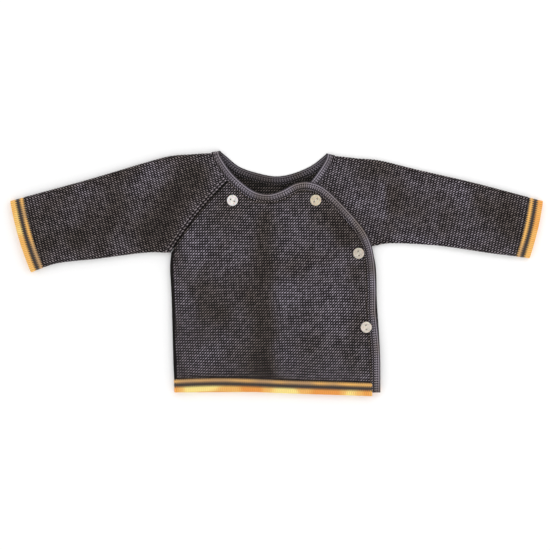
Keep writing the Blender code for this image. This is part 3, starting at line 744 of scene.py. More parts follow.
def makeBand(name, edge, seam, layer, folds, finish, turned):
    # s along the band and c across it; the ends turn to the shoulder folds where there are some
    total = lengthOf(edge)
    count = int(total / bands["rib"]) * bands["cells"]
    s = np.linspace(0, total, count + 1)
    run, z = foldedEnds(s, total, layer, folds)
    run = np.maximum.accumulate(run)
    c = np.linspace(0, 1, bands["across"] + 1)
    c = c - 0.07 * np.sin(turn * c)         # closer lines at both edges
    fraction = np.clip(run / total, 0, 1)
    c = c[:, None]
    plan = at(edge, fraction) * (1 - c[..., None]) + at(seam, fraction) * c[..., None]
    a, b = np.broadcast_arrays(s[None] / bands["rib"], bands["stitches"] * c)
    ribs = ease(c, 0.10, 0.5) + 0.35
    profile = bandProfile(c)
    lift = half - bands["sunk"] + bands["roll"] * profile
    lift = lift + bands["ribHeight"] * ribs * np.cos(turn * a)
    lift[[0, -1]] -= bands["edgeDrop"]
    marks = {"shade": 0.75 * profile + 0 * a - 0.12, "ribs": ribs + 0 * a}
    piece = closedShell(name + "_knit", raised(plan, z), np.stack([a, b], axis=-1), lift, finish,
                        turned=turned, bulge=cloth["trimBulge"], marks=marks,
                        innerEvery=bands["cells"])
    return assign(piece, name)


bandOver = makeBand("band_over", overEdge, overSeam, cloth["over"], (rightFold, None), ribKnit, True)
bandUnder = makeBand("band_under", underEdge, underSeam, cloth["under"], (leftFold, None), ribKnit,
                     False)
bandBack = makeBand("band_back_neck", neckEdge, neckSeam, cloth["back"], (rightFold, leftFold),
                    shadedInsideRib, True)
print("bands made")

# Side folds and raglan seams

rightSide = smoothLine({"hem": (-110.4, -128.3), "hip": (-112.0, -93.0), "waist": (-113.8, -28.0),
                        "below the underarm": (-115.4, 5.0), "underarm": (-114.2, 21.6)})
leftSide = smoothLine({"hem": (112.2, -127.4), "hip": (112.5, -84.0), "waist": (109.4, -33.0),
                       "below the underarm": (108.2, 6.0), "underarm": (103.0, 28.6)})
hemEdge = smoothLine({"right fold": (-110.4, -128.3), "right of the middle": (-56.0, -126.9),
                      "middle": (18.0, -129.5), "left of the middle": (70.0, -131.2),
                      "band": (103.1, -132.3)})
raglanBow = 3.0 * mm
overRaglanTop = nearest(overPanelEdge, place(-52.0, 99.5))
underRaglanTop = nearest(underPanelEdge, place(45.0, 95.0))
rightBackTop = nearest(neckPanelEdge, place(-49.0, 109.0))
leftBackTop = nearest(neckPanelEdge, place(45.0, 109.5))
rightFrontRaglan = bowed(rightSide[-1], at(overPanelEdge, overRaglanTop), raglanBow)
rightBackRaglan = bowed(rightSide[-1], at(neckPanelEdge, rightBackTop), raglanBow)
leftFrontRaglan = bowed(leftSide[-1], at(underPanelEdge, underRaglanTop), -raglanBow)
leftBackRaglan = bowed(leftSide[-1], at(neckPanelEdge, leftBackTop), -raglanBow)

trims = {
    "hemDepth": 13.8 * mm,
    "cuffDepth": 14.4 * mm,
    "rib": 2.05 * mm,        # pitch of the ribs
    "cells": 6,              # mesh cells to a rib
    "rows": 16,              # mesh cells over the depth
    "sunk": 0.35 * mm,       # how far its knit lies below the wall's face
    "roll": 0.35 * mm,       # height of its rolls
    "ribHeight": 0.17 * mm,
}


def trimProfile(v):
    # three rolls, one to a stripe, with dips where the colours change
    dips = bell(v - stripes["wideTop"], 0.05) + bell(v - stripes["darkTop"], 0.05)
    return -0.7 * dips - 0.6 * bell(v - 1.0, 0.06) + 0.2 * bell(v - 0.17, 0.15)


def sideParts(side):
    depth = place(0, trims["hemDepth"] / mm)
    seam = nearest(side, side[0] + depth)
    return stretch(side, 0, seam), stretch(side, seam + cloth["gap"] / lengthOf(side), 1)


rightHemSide, rightPanelSide = sideParts(rightSide)
leftHemSide, leftPanelSide = sideParts(leftSide)


# Panels: a lattice of stitches clamped to the panel's outline

body = {
    "stitch": 2.82 * mm,     # pitch of the stitches along a ridge
    "ridge": 2.975 * mm,     # pitch of the ridges
    "lean": 0.06,            # how far the columns lean, as a slope
    "wander": 0.35 * mm,
    "droop": 3.2 * mm,       # how far the rows sink towards the hem's left end
    "loft": 1.6 * mm,        # how far the over front stands off the layer below
    "stripWidth": 5.0 * mm,  # plain strip beside the side fold
    "stripSunk": 0.3 * mm,
    "rimDrop": (0.45 * mm, 1.2 * mm),      # how far the knit falls to its rims, and over what
    "rimShade": (1.5, 1.7 * mm),           # and how dark it is there
}
frontFolds = [
    # x0, y0, x1, y1, width, height in millimetres
    (-14.0, 66.0, -13.0, -122.0, 13.0, -1.5),
    (-66.0, 30.0, -84.0, -112.0, 22.0, 1.1),
    (34.0, 48.0, 22.0, -110.0, 24.0, 0.9),
    (-92.0, 6.0, -64.0, -52.0, 9.0, -0.7),
    (72.0, 40.0, 78.0, -20.0, 12.0, -0.8),
]
frontCreases = [
    (-27.0, 18.0, -62.0, -36.0, 5.0, 0.5),
    (-82.0, -22.0, -78.0, -44.0, 11.0, -0.6),
    (-58.0, -40.0, -60.0, -46.0, 7.0, -0.5),
    (-16.0, 40.0, -30.0, -96.0, 9.0, -0.5),
    (6.0, 30.0, 4.0, -60.0, 9.0, 0.4),
    (74.0, 52.0, 76.0, 36.0, 9.0, -0.6),
    (50.0, 30.0, 60.0, -90.0, 14.0, 0.3),
]
frontPaintedShading = [
    # painted light and shade: x0, y0, x1, y1, width in millimetres, then how light (1) or dark (-1) it
    # is painted
    (-14.0, 60.0, -13.0, -116.0, 11.0, -0.75),
    (-28.0, -26.0, -29.0, -40.0, 8.0, -0.5),
    (-14.0, -96.0, -13.0, -112.0, 12.0, -0.6),
    (-81.0, -20.0, -80.0, -40.0, 11.0, -0.45),
    (-58.0, -42.0, -59.0, -46.0, 9.0, -0.4),
    (-90.0, 36.0, -84.0, 20.0, 12.0, 0.5),
    (-82.0, -84.0, -78.0, -98.0, 16.0, 0.4),
    (11.0, -16.0, 12.0, -24.0, 12.0, 0.35),
    (76.0, 52.0, 78.0, 40.0, 12.0, -0.7),
    (83.0, 4.0, 84.0, -4.0, 10.0, -0.7),
    (88.0, -50.0, 84.0, -66.0, 10.0, -0.5),
    (-108.0, 20.0, -112.0, 6.0, 8.0, -0.5),
    (50.0, 66.0, 62.0, 52.0, 12.0, -0.4),
]


def bodyWarp(points):
    # where a lattice place lies: its lean, its wander and its droop to the hem's left end
    x, y = points[..., 0], points[..., 1]
    sink = ease(x, 5 * mm, 110 * mm) - 0.25 * ease(-x, 60 * mm, 112 * mm)
    fade = 1 - ease(y, -118 * mm, -20 * mm)
    shift = np.stack([-body["lean"] * y, -body["droop"] * sink * fade], axis=-1)
    return shift + wavy(points, body["wander"], 0.13)


def unwarped(line, warp):
    # the lattice places of a line in the plane: L = line - warp(L), repeated
    spot = line.copy()
    for _ in range(6):
        spot = line - warp(spot)
    return spot


def foldShift(xSide, fold, layer, middle, inwards):
    # lattice x of a side line's seam, so that the flat cloth beside it keeps its own x
    _, _, surplus = foldFigures(layer, middle)
    return xSide + inwards * (fold * (half - surplus) + (1 - fold) * cloth["gap"] / 2)


def makePanel(name, sides, low, top, layer, middles, cells, loft=None, down=False, paintedShading=()):
    # sides are the plan lines, each from the hem up; low and top the lines between them.
    # A fold lies along a side up to the underarm where middles gives its middle height.
    # s and t are the lattice's places: x and z come from s by the folds, then the warp.
    underarm = (rightSide[-1, 1], leftSide[-1, 1])
    lattice = [unwarped(line, bodyWarp) for line in (*sides, low, top)]
    left, right, bottom, above = lattice
    stepX, stepY = body["stitch"] / cells, body["ridge"] / cells
    everything = np.vstack(lattice)
    spare = 6 * mm
    s = spread(everything[:, 0].min() - spare, everything[:, 0].max() + spare, stepX)
    t = spread(everything[:, 1].min(), everything[:, 1].max(), stepY)
    s, t = np.meshgrid(s, t)

    def seamAt(line, side, value):
        fold = 1 - ease(value, underarm[side], underarm[side] + cloth["underarmEase"])
        where = across(line, 1, value)
        if middles[side]:
            return foldShift(where, fold, layer, middles[side], 1 - 2 * side), fold, where
        return where, fold * 0, where

    leftSeam, _, _ = seamAt(left, 0, t)
    rightSeam, _, _ = seamAt(right, 1, t)
    s = np.clip(s, leftSeam, rightSeam)
    t = np.clip(t, across(bottom, 0, s), across(above, 0, s))
    leftSeam, leftShare, leftLine = seamAt(left, 0, t)
    rightSeam, rightShare, rightLine = seamAt(right, 1, t)
    x, z = s.copy(), np.full(s.shape, layer)
    for seam, share, line, middle, inwards in ((leftSeam, leftShare, leftLine, middles[0], 1),
                                               (rightSeam, rightShare, rightLine, middles[1], -1)):
        if not middle:
            continue
        e = np.maximum((s - seam) * inwards, 0)
        inward, height = sideFold(e, layer, middle)
        near = e < 2 * foldFigures(layer, middle)[1]
        inward = share * inward + (1 - share) * (cloth["gap"] / 2 + e)
        x = np.where(near, line + inwards * inward, x)
        z = np.where(near, share * height + (1 - share) * layer, z)
    plan = np.stack([x, t], axis=-1) + bodyWarp(np.stack([s, t], axis=-1))
    edgeLeft, edgeRight = s - leftSeam, rightSeam - s
    edgeTop, edgeLow = across(above, 0, s) - t, t - across(bottom, 0, s)
    if loft:
        z = z + loft(plan, edgeLeft, edgeRight, edgeTop, edgeLow)
    a, b = s / body["stitch"], t / body["ridge"]
    plain = np.zeros(s.shape)
    for e, share, has in ((edgeLeft, leftShare, middles[0]), (edgeRight, rightShare, middles[1])):
        if has:
            strip = 1 - ease(e, body["stripWidth"] * 0.75, body["stripWidth"])
            plain = np.maximum(plain, share * strip)
    relief = cloth["relief"] * (garter(a, b) - cloth["sunk"]) * (1 - plain) - body["stripSunk"] * plain
    rims = np.minimum.reduce([edgeLeft, edgeRight, edgeTop, edgeLow])
    (drop, dropReach), (shade, shadeReach) = body["rimDrop"], body["rimShade"]
    relief = relief - drop * bell(rims, dropReach)
    # painted light and shade: the listed rows, painted shade on the plain strip beside a side fold and
    # painted shade at the rims
    toneAndPaintedShading = creases(plan, paintedShading) - 0.55 * plain - shade * bell(rims, shadeReach)
    piece = closedShell(name + "_knit", raised(plan, z), np.stack([a, b], axis=-1), half + relief,
                        woolKnit, turned=down, marks={"plain": plain, "toneAndPaintedShading": toneAndPaintedShading},
                        innerEvery=2 * cells)
    return assign(piece, name)


def frontLoft(plan, left, right, top, low):
    # the swell of the over front, which dies out at its seams, with its soft folds
    swell = ease(left, 4 * mm, 44 * mm) * ease(right, 0, 30 * mm) * ease(top, 0, 30 * mm)
    swell = swell * (0.35 + 0.65 * ease(low, 0, 21 * mm))
    rise = body["loft"] + creases(plan, frontFolds) * mm + creases(plan, frontCreases) * mm
    return swell * np.maximum(rise, 0)


corner = nearest(overPanelEdge, place(42.0, 88.5))
gapRise = place(0, cloth["gap"] / mm)
overHemSeam = hemEdge + place(0, trims["hemDepth"] / mm)
hemStop = nearest(overPanelEdge, overHemSeam[-1] + gapRise)
overWrap = stretch(overPanelEdge, hemStop, corner)
overNeck = stretch(overPanelEdge, overRaglanTop, corner)
overSideLine = np.vstack([rightPanelSide, rightFrontRaglan[1:]])
overLow = pinned(overHemSeam + gapRise, overSideLine[0], overWrap[0], reach=0.5)
frontOver = makePanel("front_over", (overSideLine, overWrap), overLow, overNeck, cloth["over"],
                      (rightFold, None), cloth["cells"], frontLoft, paintedShading=frontPaintedShading)

corner = nearest(underPanelEdge, place(-38.0, 77.0))
hemStop = nearest(underPanelEdge, place(-93.0, leftPanelSide[0][1] / mm))
underWrap = stretch(underPanelEdge, hemStop, corner)
underNeck = stretch(underPanelEdge, underRaglanTop, corner)
underSideLine = np.vstack([leftPanelSide, leftFrontRaglan[1:]])
underLow = bowed(underWrap[0], underSideLine[0])
frontUnder = makePanel("front_under", (underWrap, underSideLine), underLow, underNeck, cloth["under"],
                       (None, leftFold), 2)

backSide = np.vstack([rightPanelSide, rightBackRaglan[1:]])
backOther = np.vstack([leftPanelSide, leftBackRaglan[1:]])
backLow = bowed(backSide[0], backOther[0])
backNeck = stretch(neckPanelEdge, rightBackTop, leftBackTop)
# painted shade inside the neck, on the back panel
backPaintedShade = [(-36.0, 94.0, 36.0, 94.0, 24.0, -1.8)]      # the shade inside the neck
backPanel = makePanel("back_panel", (backSide, backOther), backLow, backNeck, cloth["back"],
                      (rightFold, leftFold), 3, down=True, paintedShading=backPaintedShade)
print("panels made")

# Hem trims

def trimLift(v, a):
    # the three rolls, and ribs of cos(turn * a)
    ribs = trims["ribHeight"] * np.cos(turn * a)
    return half - trims["sunk"] + trims["roll"] * trimProfile(v) + ribs


def makeTrim(name, low, high, first, last, layer, middles, cells, turned, patches=()):
    # u runs from the first side to the last one and v from the free edge to the seam; flat cloth
    # keeps its own distance from the first side; the hue is the sum of height * bell(x - x0, wide)
    width = np.linalg.norm(first.mean(0) - last.mean(0))
    starts = [half - foldFigures(layer, m)[2] if m else 0 for m in middles]
    columns = int((width - sum(starts)) / trims["rib"]) * cells
    s = np.linspace(starts[0], width - starts[1], columns + 1)
    x, z = foldedEnds(s, width, layer, middles)
    u, v = np.meshgrid(np.clip(x / width, 0, 1), np.linspace(0, 1, trims["rows"] + 1))
    plan = patch(low, high, first, last, u, v)
    a = np.broadcast_to(s / trims["rib"], u.shape)
    hue = 0 * a
    for x0, wide, height in patches:
        hue = hue + height * bell(plan[..., 0] - x0 * mm, wide * mm)
    piece = closedShell(name + "_knit", raised(plan, z), np.stack([a, v], axis=-1), trimLift(v, a),
                        trimKnit, turned=turned, bulge=cloth["trimBulge"], marks={"hue": hue})
    return assign(piece, name)


hemPatches = [
    # x0, width in millimetres, height: yellow above zero, orange below it
    (-108.0, 8.0, -0.9), (-78.0, 21.0, 1.0), (-27.0, 20.0, -1.0), (16.0, 17.0, 0.7),
    (55.0, 15.0, -1.1), (81.0, 10.0, 1.0), (97.0, 5.0, -0.5), (107.0, 5.0, 0.9),
]
hemEnd = bowed(hemEdge[-1], overWrap[0] - gapRise)
hemOver = makeTrim("hem_over", hemEdge, pinned(overLow - gapRise, rightHemSide[-1]), rightHemSide,
                   hemEnd, cloth["over"], (rightFold, None), trims["cells"], False, hemPatches)
underHemEnd = bowed(underWrap[0] - place(0, trims["hemDepth"] / mm), underWrap[0] - gapRise)
hemUnder = makeTrim("hem_under", bowed(leftHemSide[0], underHemEnd[0]),
                    bowed(leftHemSide[-1], underHemEnd[-1]), leftHemSide, underHemEnd, cloth["under"],
                    (leftFold, None), 4, True)
hemBack = makeTrim("hem_back", bowed(rightHemSide[0], leftHemSide[0]),
                   bowed(rightHemSide[-1], leftHemSide[-1]), rightHemSide, leftHemSide, cloth["back"],
                   (rightFold, leftFold), 4, True)
print("hems made")

# Sleeves and cuffs

arms = {
    "stitch": 2.73 * mm,     # pitch of the stitches across the arm
    "ridge": 3.14 * mm,      # pitch of the ridges along it
    "loft": 0.8 * mm,
    "chains": (2.4 * mm, 5.4 * mm),    # from the raglan seam to its two chains of stitches
    "chainReach": 7.2 * mm,            # where the chains end and the garter stitch begins
    "chainFade": 1.5 * mm,
    "chainWidth": 1.1 * mm,
    "chainHeight": 0.42 * mm,
    "chainSlant": 3.4 * mm,            # the links' slant: a stitch along for this much across
    "groove": 1.4 * mm,                # width of the groove in the seam
    "rimDrop": (0.35 * mm, 0.9 * mm),  # as the body's
    "rimShade": (0.6, 1.5 * mm),
    "foldShade": (0.35, 3.5 * mm),     # how dark the top fold is, and over what
}
rightArm = {
    "outward": -1, "tilt": 12.6,      # the arm's axis falls by this many degrees
    "frontChains": 1,                 # 1 where chains of stitches line the front raglan seam
    "cuffBow": 2.4 * mm,
    "heights": (cloth["over"], cloth["over"]),      # of the front's middle, underarm and forearm
    "top": {"neck": (-70.4, 130.2), "shoulder": (-90.0, 128.6), "end of the shoulder": (-112.0, 127.0),
            "upper arm": (-134.0, 121.8), "elbow": (-205.6, 100.6), "cuff": (-287.0, 78.4)},
    "below": {"underarm": (-114.2, 21.6), "past the underarm": (-141.0, 21.9), "elbow": (-192.0, 15.4),
              "forearm": (-236.0, 10.4), "cuff": (-264.5, 0.8)},
    "folds": [
        # x0, y0, x1, y1, width, height in millimetres
        (-84.0, 112.0, -126.0, 58.0, 13.0, -0.9),
        (-126.0, 58.0, -136.0, 36.0, 11.0, -0.6),
        (-212.0, 92.0, -232.0, 50.0, 9.0, 0.35),
        (-206.0, 34.0, -256.0, 24.0, 10.0, -0.45),
        (-150.0, 100.0, -168.0, 60.0, 12.0, 0.4),
    ],
    "paintedShading": [
        # painted light and shade: x0, y0, x1, y1, width in millimetres, then how light (1) or dark
        # (-1) it is painted
        (-95.0, 80.0, -245.0, 45.0, 42.0, -0.32),
        (-88.0, 108.0, -108.0, 84.0, 14.0, -0.75),
        (-112.0, 78.0, -130.0, 46.0, 17.0, -0.95),
        (-150.0, 112.0, -200.0, 98.0, 7.0, -0.4),
        (-208.0, 46.0, -216.0, 36.0, 12.0, -0.5),
        (-236.0, 82.0, -242.0, 74.0, 12.0, -0.35),
        (-250.0, 32.0, -256.0, 22.0, 11.0, -0.55),
        (-134.0, 108.0, -152.0, 92.0, 14.0, 0.45),
        (-206.0, 82.0, -218.0, 62.0, 13.0, 0.3),
        (-172.0, 66.0, -184.0, 40.0, 11.0, -0.25),
        (-244.0, 56.0, -246.0, 50.0, 10.0, 0.35),
    ],
}
leftArm = {
    "outward": 1, "tilt": 11.8, "frontChains": 0, "cuffBow": -1.6 * mm,
    "heights": (cloth["under"], cloth["over"]),
    "top": {"neck": (63.4, 127.2), "shoulder": (86.0, 124.3), "end of the shoulder": (111.0, 122.0),
            "upper arm": (150.0, 112.6), "forearm": (215.0, 97.4), "cuff": (287.4, 78.2)},
    "below": {"underarm": (103.0, 28.6), "past the underarm": (125.0, 32.0),
              "upper arm": (176.0, 29.2), "forearm": (228.5, 21.6), "cuff": (272.8, 16.0)},
    "folds": [
        (115.0, 96.0, 116.0, 62.0, 4.0, 0.45),
        (156.0, 94.0, 150.0, 60.0, 9.0, -0.4),
        (196.0, 92.0, 216.0, 50.0, 10.0, 0.4),
        (240.0, 82.0, 256.0, 40.0, 12.0, -0.6),
        (178.0, 40.0, 222.0, 34.0, 8.0, 0.3),
    ],
    "paintedShading": [
        (250.0, 70.0, 254.0, 44.0, 15.0, -0.85),
        (126.0, 86.0, 124.0, 70.0, 9.0, -0.35),
        (152.0, 72.0, 156.0, 58.0, 11.0, -0.45),
        (216.0, 82.0, 222.0, 74.0, 9.0, -0.35),
        (190.0, 96.0, 200.0, 86.0, 12.0, 0.35),
        (148.0, 96.0, 156.0, 84.0, 10.0, 0.3),
        (206.0, 58.0, 216.0, 46.0, 13.0, 0.45),
        (74.0, 96.0, 92.0, 74.0, 12.0, 0.25),
        (114.0, 96.0, 115.5, 62.0, 3.0, 0.4),
        (130.0, 37.0, 200.0, 30.0, 6.0, 0.35),
        (98.0, 116.0, 114.0, 112.0, 9.0, -0.3),
    ],
}


def sleeveLines(arm, corner, necks, raglans):
    # the sleeve's outline in the arm's own axes, x along it and y up; necks and raglans each
    # give the front line and the back line, and so do the lows, starts and levels
    angle, outward = np.radians(arm["tilt"]), arm["outward"]
    along = np.array([outward * np.cos(angle), -np.sin(angle)])
    upward = np.array([outward * np.sin(angle), np.cos(angle)])

    def turned(line):
        return np.stack([line @ along, line @ upward], axis=-1)

    top, below = pinned(smoothLine(arm["top"]), start=corner), smoothLine(arm["below"])
    cuff = [trims["cuffDepth"] / lengthOf(line) for line in (below, top)]
    gap = [cloth["gap"] / lengthOf(line) for line in (below, top)]
    wrists = [bowed(at(below, 1 - cuff[0] * k - gap[0] * g), at(top, 1 - cuff[1] * k - gap[1] * g),
                    arm["cuffBow"]) for k, g in ((1, 1), (1, 0), (0, 0))]
    armLine = stretch(below, 0, 1 - cuff[0] - gap[0])
    lows = [np.vstack([raglan[::-1], armLine[1:]]) for raglan in raglans]
    return {
        "along": along, "upward": upward,
        "top": turned(stretch(top, 0, 1 - cuff[1] - gap[1])),
        "lows": [turned(low) for low in lows],              # down the raglan seam, then the arm
        "levels": [low[:, 1] for low in lows],              # their y in the garment's axes
        "starts": [turned(neck) for neck in necks],
        "underarm": turned(raglans[0][:1])[0, 0],
        "wrist": turned(wrists[0]), "wrists": wrists,       # sleeve's end, cuff's seam, free edge
        "cuff": [stretch(below, 1 - cuff[0], 1), stretch(top, 1 - cuff[1], 1)],
    }


def raglanChains(plan, isFront, raglans, arm):
    # how far the cloth is chain and not garter, and its height: a groove at the seam and, along
    # each chain, links of 0.5 + 0.5 cos(turn * phase)
    gaps = [distanceTo(raglan, plan) for raglan in raglans]
    toSeam = np.where(isFront, gaps[0][0], gaps[1][0])
    reached = np.where(isFront, gaps[0][1], gaps[1][1])
    chained = 1 - ease(toSeam, arms["chainReach"] - arms["chainFade"], arms["chainReach"])
    chained = chained * np.where(isFront, arm["frontChains"], 1)
    between = sum(arms["chains"]) / 2
    chain = -1.0 * bell(toSeam, arms["groove"]) - 0.4 * bell(toSeam - between, 0.6 * mm)
    for spot in arms["chains"]:
        phase = reached / arms["stitch"] - (toSeam - spot) / arms["chainSlant"]
        links = 0.5 + 0.5 * np.cos(turn * phase)
        chain = chain + 1.15 * bell(toSeam - spot, arms["chainWidth"]) * links
    return chained, chain


def sleeveCut(lines):
    # front and back in one: twice the widest across by the length, and both their areas
    top, wrist, starts = lines["top"], lines["wrist"], lines["starts"]
    area = sum(flatArea(low, wrist, top[::-1], start[::-1])
               for low, start in zip(lines["lows"], starts))
    fullWidth = 2 * (top[:, 1] - across(lines["lows"][0], 0, top[:, 0])).max()
    length = wrist[:, 0].max() - min(start[:, 0].min() for start in starts)
    return (fullWidth, length), area


def makeSleeve(name, arm, corner, necks, raglans, cells):
    # s counts the cloth across the arm, over its top fold, and t along the arm's axis
    lines = sleeveLines(arm, corner, necks, raglans)
    topLine, lows, starts, wrist = (lines[k] for k in ("top", "lows", "starts", "wrist"))
    underarm = lines["underarm"]
    reach = wrist[:, 0].mean() - underarm

    def figures(t):
        # the front's height, the top fold's radius and crest, and both seams' q and share of fold
        rise = ease(t, underarm + 0.1 * reach, underarm + 0.667 * reach)
        height = arm["heights"][0] * (1 - rise) + arm["heights"][1] * rise
        radius = (height - cloth["back"]) / 2
        crest = across(topLine, 0, t) - half - radius + np.pi / 2 * radius
        surplus = foldFigures(height, (height + cloth["back"]) / 2)[2]
        seams = []
        for low, levels, raglan in zip(lows, lines["levels"], raglans):
            level, armpit = np.interp(t, low[:, 0], levels), raglan[0, 1]
            fold = 1 - ease(level, armpit, armpit + cloth["underarmEase"])
            fold = np.where(t >= underarm, 1.0, fold)
            q = across(low, 0, t)
            seams.append((q, fold, q + fold * (half - surplus) + (1 - fold) * cloth["gap"] / 2))
        return height, radius, crest, seams

    stepS, stepT = arms["stitch"] / cells, arms["ridge"] / cells
    lowest = min(low[:, 1].min() for low in lows)
    highest = 2 * (topLine[:, 1].max() + 2 * mm) - lowest
    neckmost = min(start[:, 0].min() for start in starts)
    wantedS, wantedT = np.meshgrid(spread(lowest, highest, stepS),
                                   spread(neckmost, wrist[:, 0].max(), stepT))
    t = np.clip(wantedT, lows[0][0, 0], wrist[:, 0].max())
    for _ in range(9):
        height, radius, crest, (front, back) = figures(t)
        s = np.clip(wantedS, front[2], 2 * crest - back[2])
        q = across(topLine, 0, t) - topFold(np.abs(s - crest), radius)[0]
        first = np.where(s < crest, across(starts[0], 1, q), across(starts[1], 1, q))
        t = np.clip(wantedT, first, across(wrist, 1, q))
    height, radius, crest, (front, back) = figures(t)
    s = np.clip(wantedS, front[2], 2 * crest - back[2])
    isFront = s < crest
    inward, rise = topFold(np.abs(s - crest), radius)
    q = across(topLine, 0, t) - inward
    middleHeight = (height + cloth["back"]) / 2
    z = middleHeight + np.where(isFront, 1, -1) * rise
    for (line, fold, seam), ownSide, layer in ((front, isFront, height),
                                               (back, ~isFront, cloth["back"])):
        fromSeam = np.where(ownSide, np.where(isFront, s - seam, 2 * crest - s - seam), 1.0)
        fromSeam = np.maximum(fromSeam, 0)
        inward, level = sideFold(fromSeam, layer, middleHeight)
        near = fromSeam < 2 * foldFigures(layer, middleHeight)[1]
        q = np.where(near, line + fold * inward + (1 - fold) * (cloth["gap"] / 2 + fromSeam), q)
        z = np.where(near, fold * level + (1 - fold) * layer, z)
    plan = t[..., None] * lines["along"] + q[..., None] * lines["upward"]
    share = np.clip((q - front[0]) / (across(topLine, 0, t) - front[0]), 0, 1)
    toWrist = across(wrist, 1, q) - t
    loft = arms["loft"] * np.sin(np.pi * share) * ease(toWrist, 0, 9 * mm)
    rise = loft + creases(plan, arm["folds"]) * mm * np.sin(np.pi * share) * ease(toWrist, 0, 12 * mm)
    z = z + np.where(isFront, np.maximum(rise, -0.25 * mm), 0)

    chained, chain = raglanChains(plan, isFront, raglans, arm)
    a, b = s / arms["stitch"], t / arms["ridge"]
    relief = cloth["relief"] * (garter(a, b) - cloth["sunk"]) * (1 - chained)
    relief = relief + arms["chainHeight"] * (chain - 0.9) * chained
    rims = np.minimum(toWrist, np.minimum(s - front[2], 2 * crest - back[2] - s))
    (drop, dropReach), (shade, shadeReach) = arms["rimDrop"], arms["rimShade"]
    relief = relief - drop * bell(rims, dropReach)
    # painted light and shade: the listed rows, weaker on the back, and painted shade at the rims and
    # along the top fold
    toneAndPaintedShading = creases(plan, arm["paintedShading"]) * np.where(isFront, 1, 0.4) - shade * bell(rims, shadeReach)
    shade, shadeReach = arms["foldShade"]
    toneAndPaintedShading = toneAndPaintedShading - shade * bell(across(topLine, 0, t) - q, shadeReach)
    piece = closedShell(name + "_knit", raised(plan, z), np.stack([a, b], axis=-1), half + relief,
                        woolKnit, turned=arm["outward"] > 0, innerEvery=2 * cells,
                        marks={"plain": chained, "toneAndPaintedShading": toneAndPaintedShading, "chain": 0.95 * chain})
    return assign(piece, name), lines


def makeCuff(name, arm, lines):
    # columns run from the front's lower seam over the top fold to the back's lower seam
    (below, top), (_, seam, edge) = lines["cuff"], lines["wrists"]
    height = arm["heights"][1]
    middleHeight, radius = (height + cloth["back"]) / 2, (height - cloth["back"]) / 2
    v = np.linspace(1, 0, trims["rows"] + 1)       # from the free edge to the seam
    width = np.linalg.norm(at(top, v) - at(below, v), axis=1)[:, None]
    low = half - foldFigures(height, middleHeight)[2]
    crest = width - half - radius + np.pi / 2 * radius
    ribs = int(2 * (crest.mean() - low) / trims["rib"])
    f = np.linspace(0, 2, ribs * trims["cells"] + 1)[None]
    isFront = f < 1
    s = low + np.where(isFront, f, 2 - f) * (crest - low)      # from the lower line, in both halves
    layer = np.where(isFront, height, cloth["back"])
    inward, rise = topFold(crest - s, radius)
    x = width - inward
    z = middleHeight + np.where(isFront, 1, -1) * rise
    inward, level = sideFold(s - low, layer, middleHeight)
    near = s - low < 2 * foldFigures(height, middleHeight)[1]
    x, z = np.where(near, inward, x), np.where(near, level, z)
    depth = np.broadcast_to(v[:, None], x.shape)
    plan = patch(seam, edge, below, top, x / width, depth)
    a, b = np.broadcast_arrays(f / 2 * ribs, 1 - v[:, None])
    piece = closedShell(name + "_knit", raised(plan, z), np.stack([a, b], axis=-1), trimLift(b, a),
                        trimKnit, turned=arm["outward"] < 0, bulge=cloth["trimBulge"])
    return assign(piece, name)


rightNecks = stretch(overPanelEdge, overRaglanTop, 0), stretch(neckPanelEdge, rightBackTop, 0)
rightRaglans = rightFrontRaglan, rightBackRaglan
sleeveRight, rightLines = makeSleeve("sleeve_right", rightArm, rightCorner, rightNecks, rightRaglans,
                                     cloth["cells"])
cuffRight = makeCuff("cuff_right", rightArm, rightLines)
leftNecks = stretch(underPanelEdge, underRaglanTop, 0), stretch(neckPanelEdge, leftBackTop, 1)
leftRaglans = leftFrontRaglan, leftBackRaglan
sleeveLeft, leftLines = makeSleeve("sleeve_left", leftArm, leftCorner, leftNecks, leftRaglans,
                                   cloth["cells"])
cuffLeft = makeCuff("cuff_left", leftArm, leftLines)
print("sleeves made")

# The cut of each panel and sleeve: its size and its area, printed

def sayCut(piece, cut):
    (width, length), area = cut
    area = min(area, width * length)
    print(f"{piece.name} cut {width / mm:.0f} x {length / mm:.0f} mm, {area * 10000:.0f} square cm")


def panelCut(*lines):
    # the size and the area inside the lines that go round the panel
    return np.ptp(np.vstack(lines), axis=0), flatArea(*lines)


sayCut(frontOver, panelCut(overLow, overWrap, overNeck[::-1], overSideLine[::-1]))
sayCut(frontUnder, panelCut(underLow, underSideLine, underNeck, underWrap[::-1]))
sayCut(backPanel, panelCut(backLow, backOther, backNeck[::-1], backSide[::-1]))
sayCut(sleeveRight, sleeveCut(rightLines))
sayCut(sleeveLeft, sleeveCut(leftLines))

# Buttons

buttons = {
    "radius": 6.0 * mm,
    "thickness": 3.0 * mm,
    "hole": 1.7 * mm,
    "pitch": 4.4 * mm,       # between the two holes
    "thread": 0.55 * mm,     # thickness of the bar of thread between the holes
    "threadRise": 0.15 * mm,
    "steps": 64,
    "veins": (0.36, 0.62),   # noise over which the grey cream turns into the light one
    "grey": 0.72,
}
buttonProfile = {
    # share of the radius, share of the thickness, from the middle of the face to its back
    "face middle": (0, 0.60), "recess": (0.34, 0.58), "recess edge": (0.56, 0.62),
    "slope": (0.68, 0.84), "rim top": (0.80, 1.0), "outer rim": (0.92, 0.94), "side": (1.0, 0.64),
    "underside": (0.91, 0.14), "foot": (0.62, 0.0), "back middle": (0, 0.0),
}
buttonSpots = {
    # x, y in millimetres, turn of the holes and tilt in degrees
    "button_neck_right": (-47.4, 78.5, -28.0, 0.0),
    "button_neck_left": (42.2, 78.6, 44.0, 6.0),
    "button_side_upper": (88.7, 21.3, 98.0, 3.0),
    "button_side_lower": (96.9, -58.3, 98.0, 2.0),
}
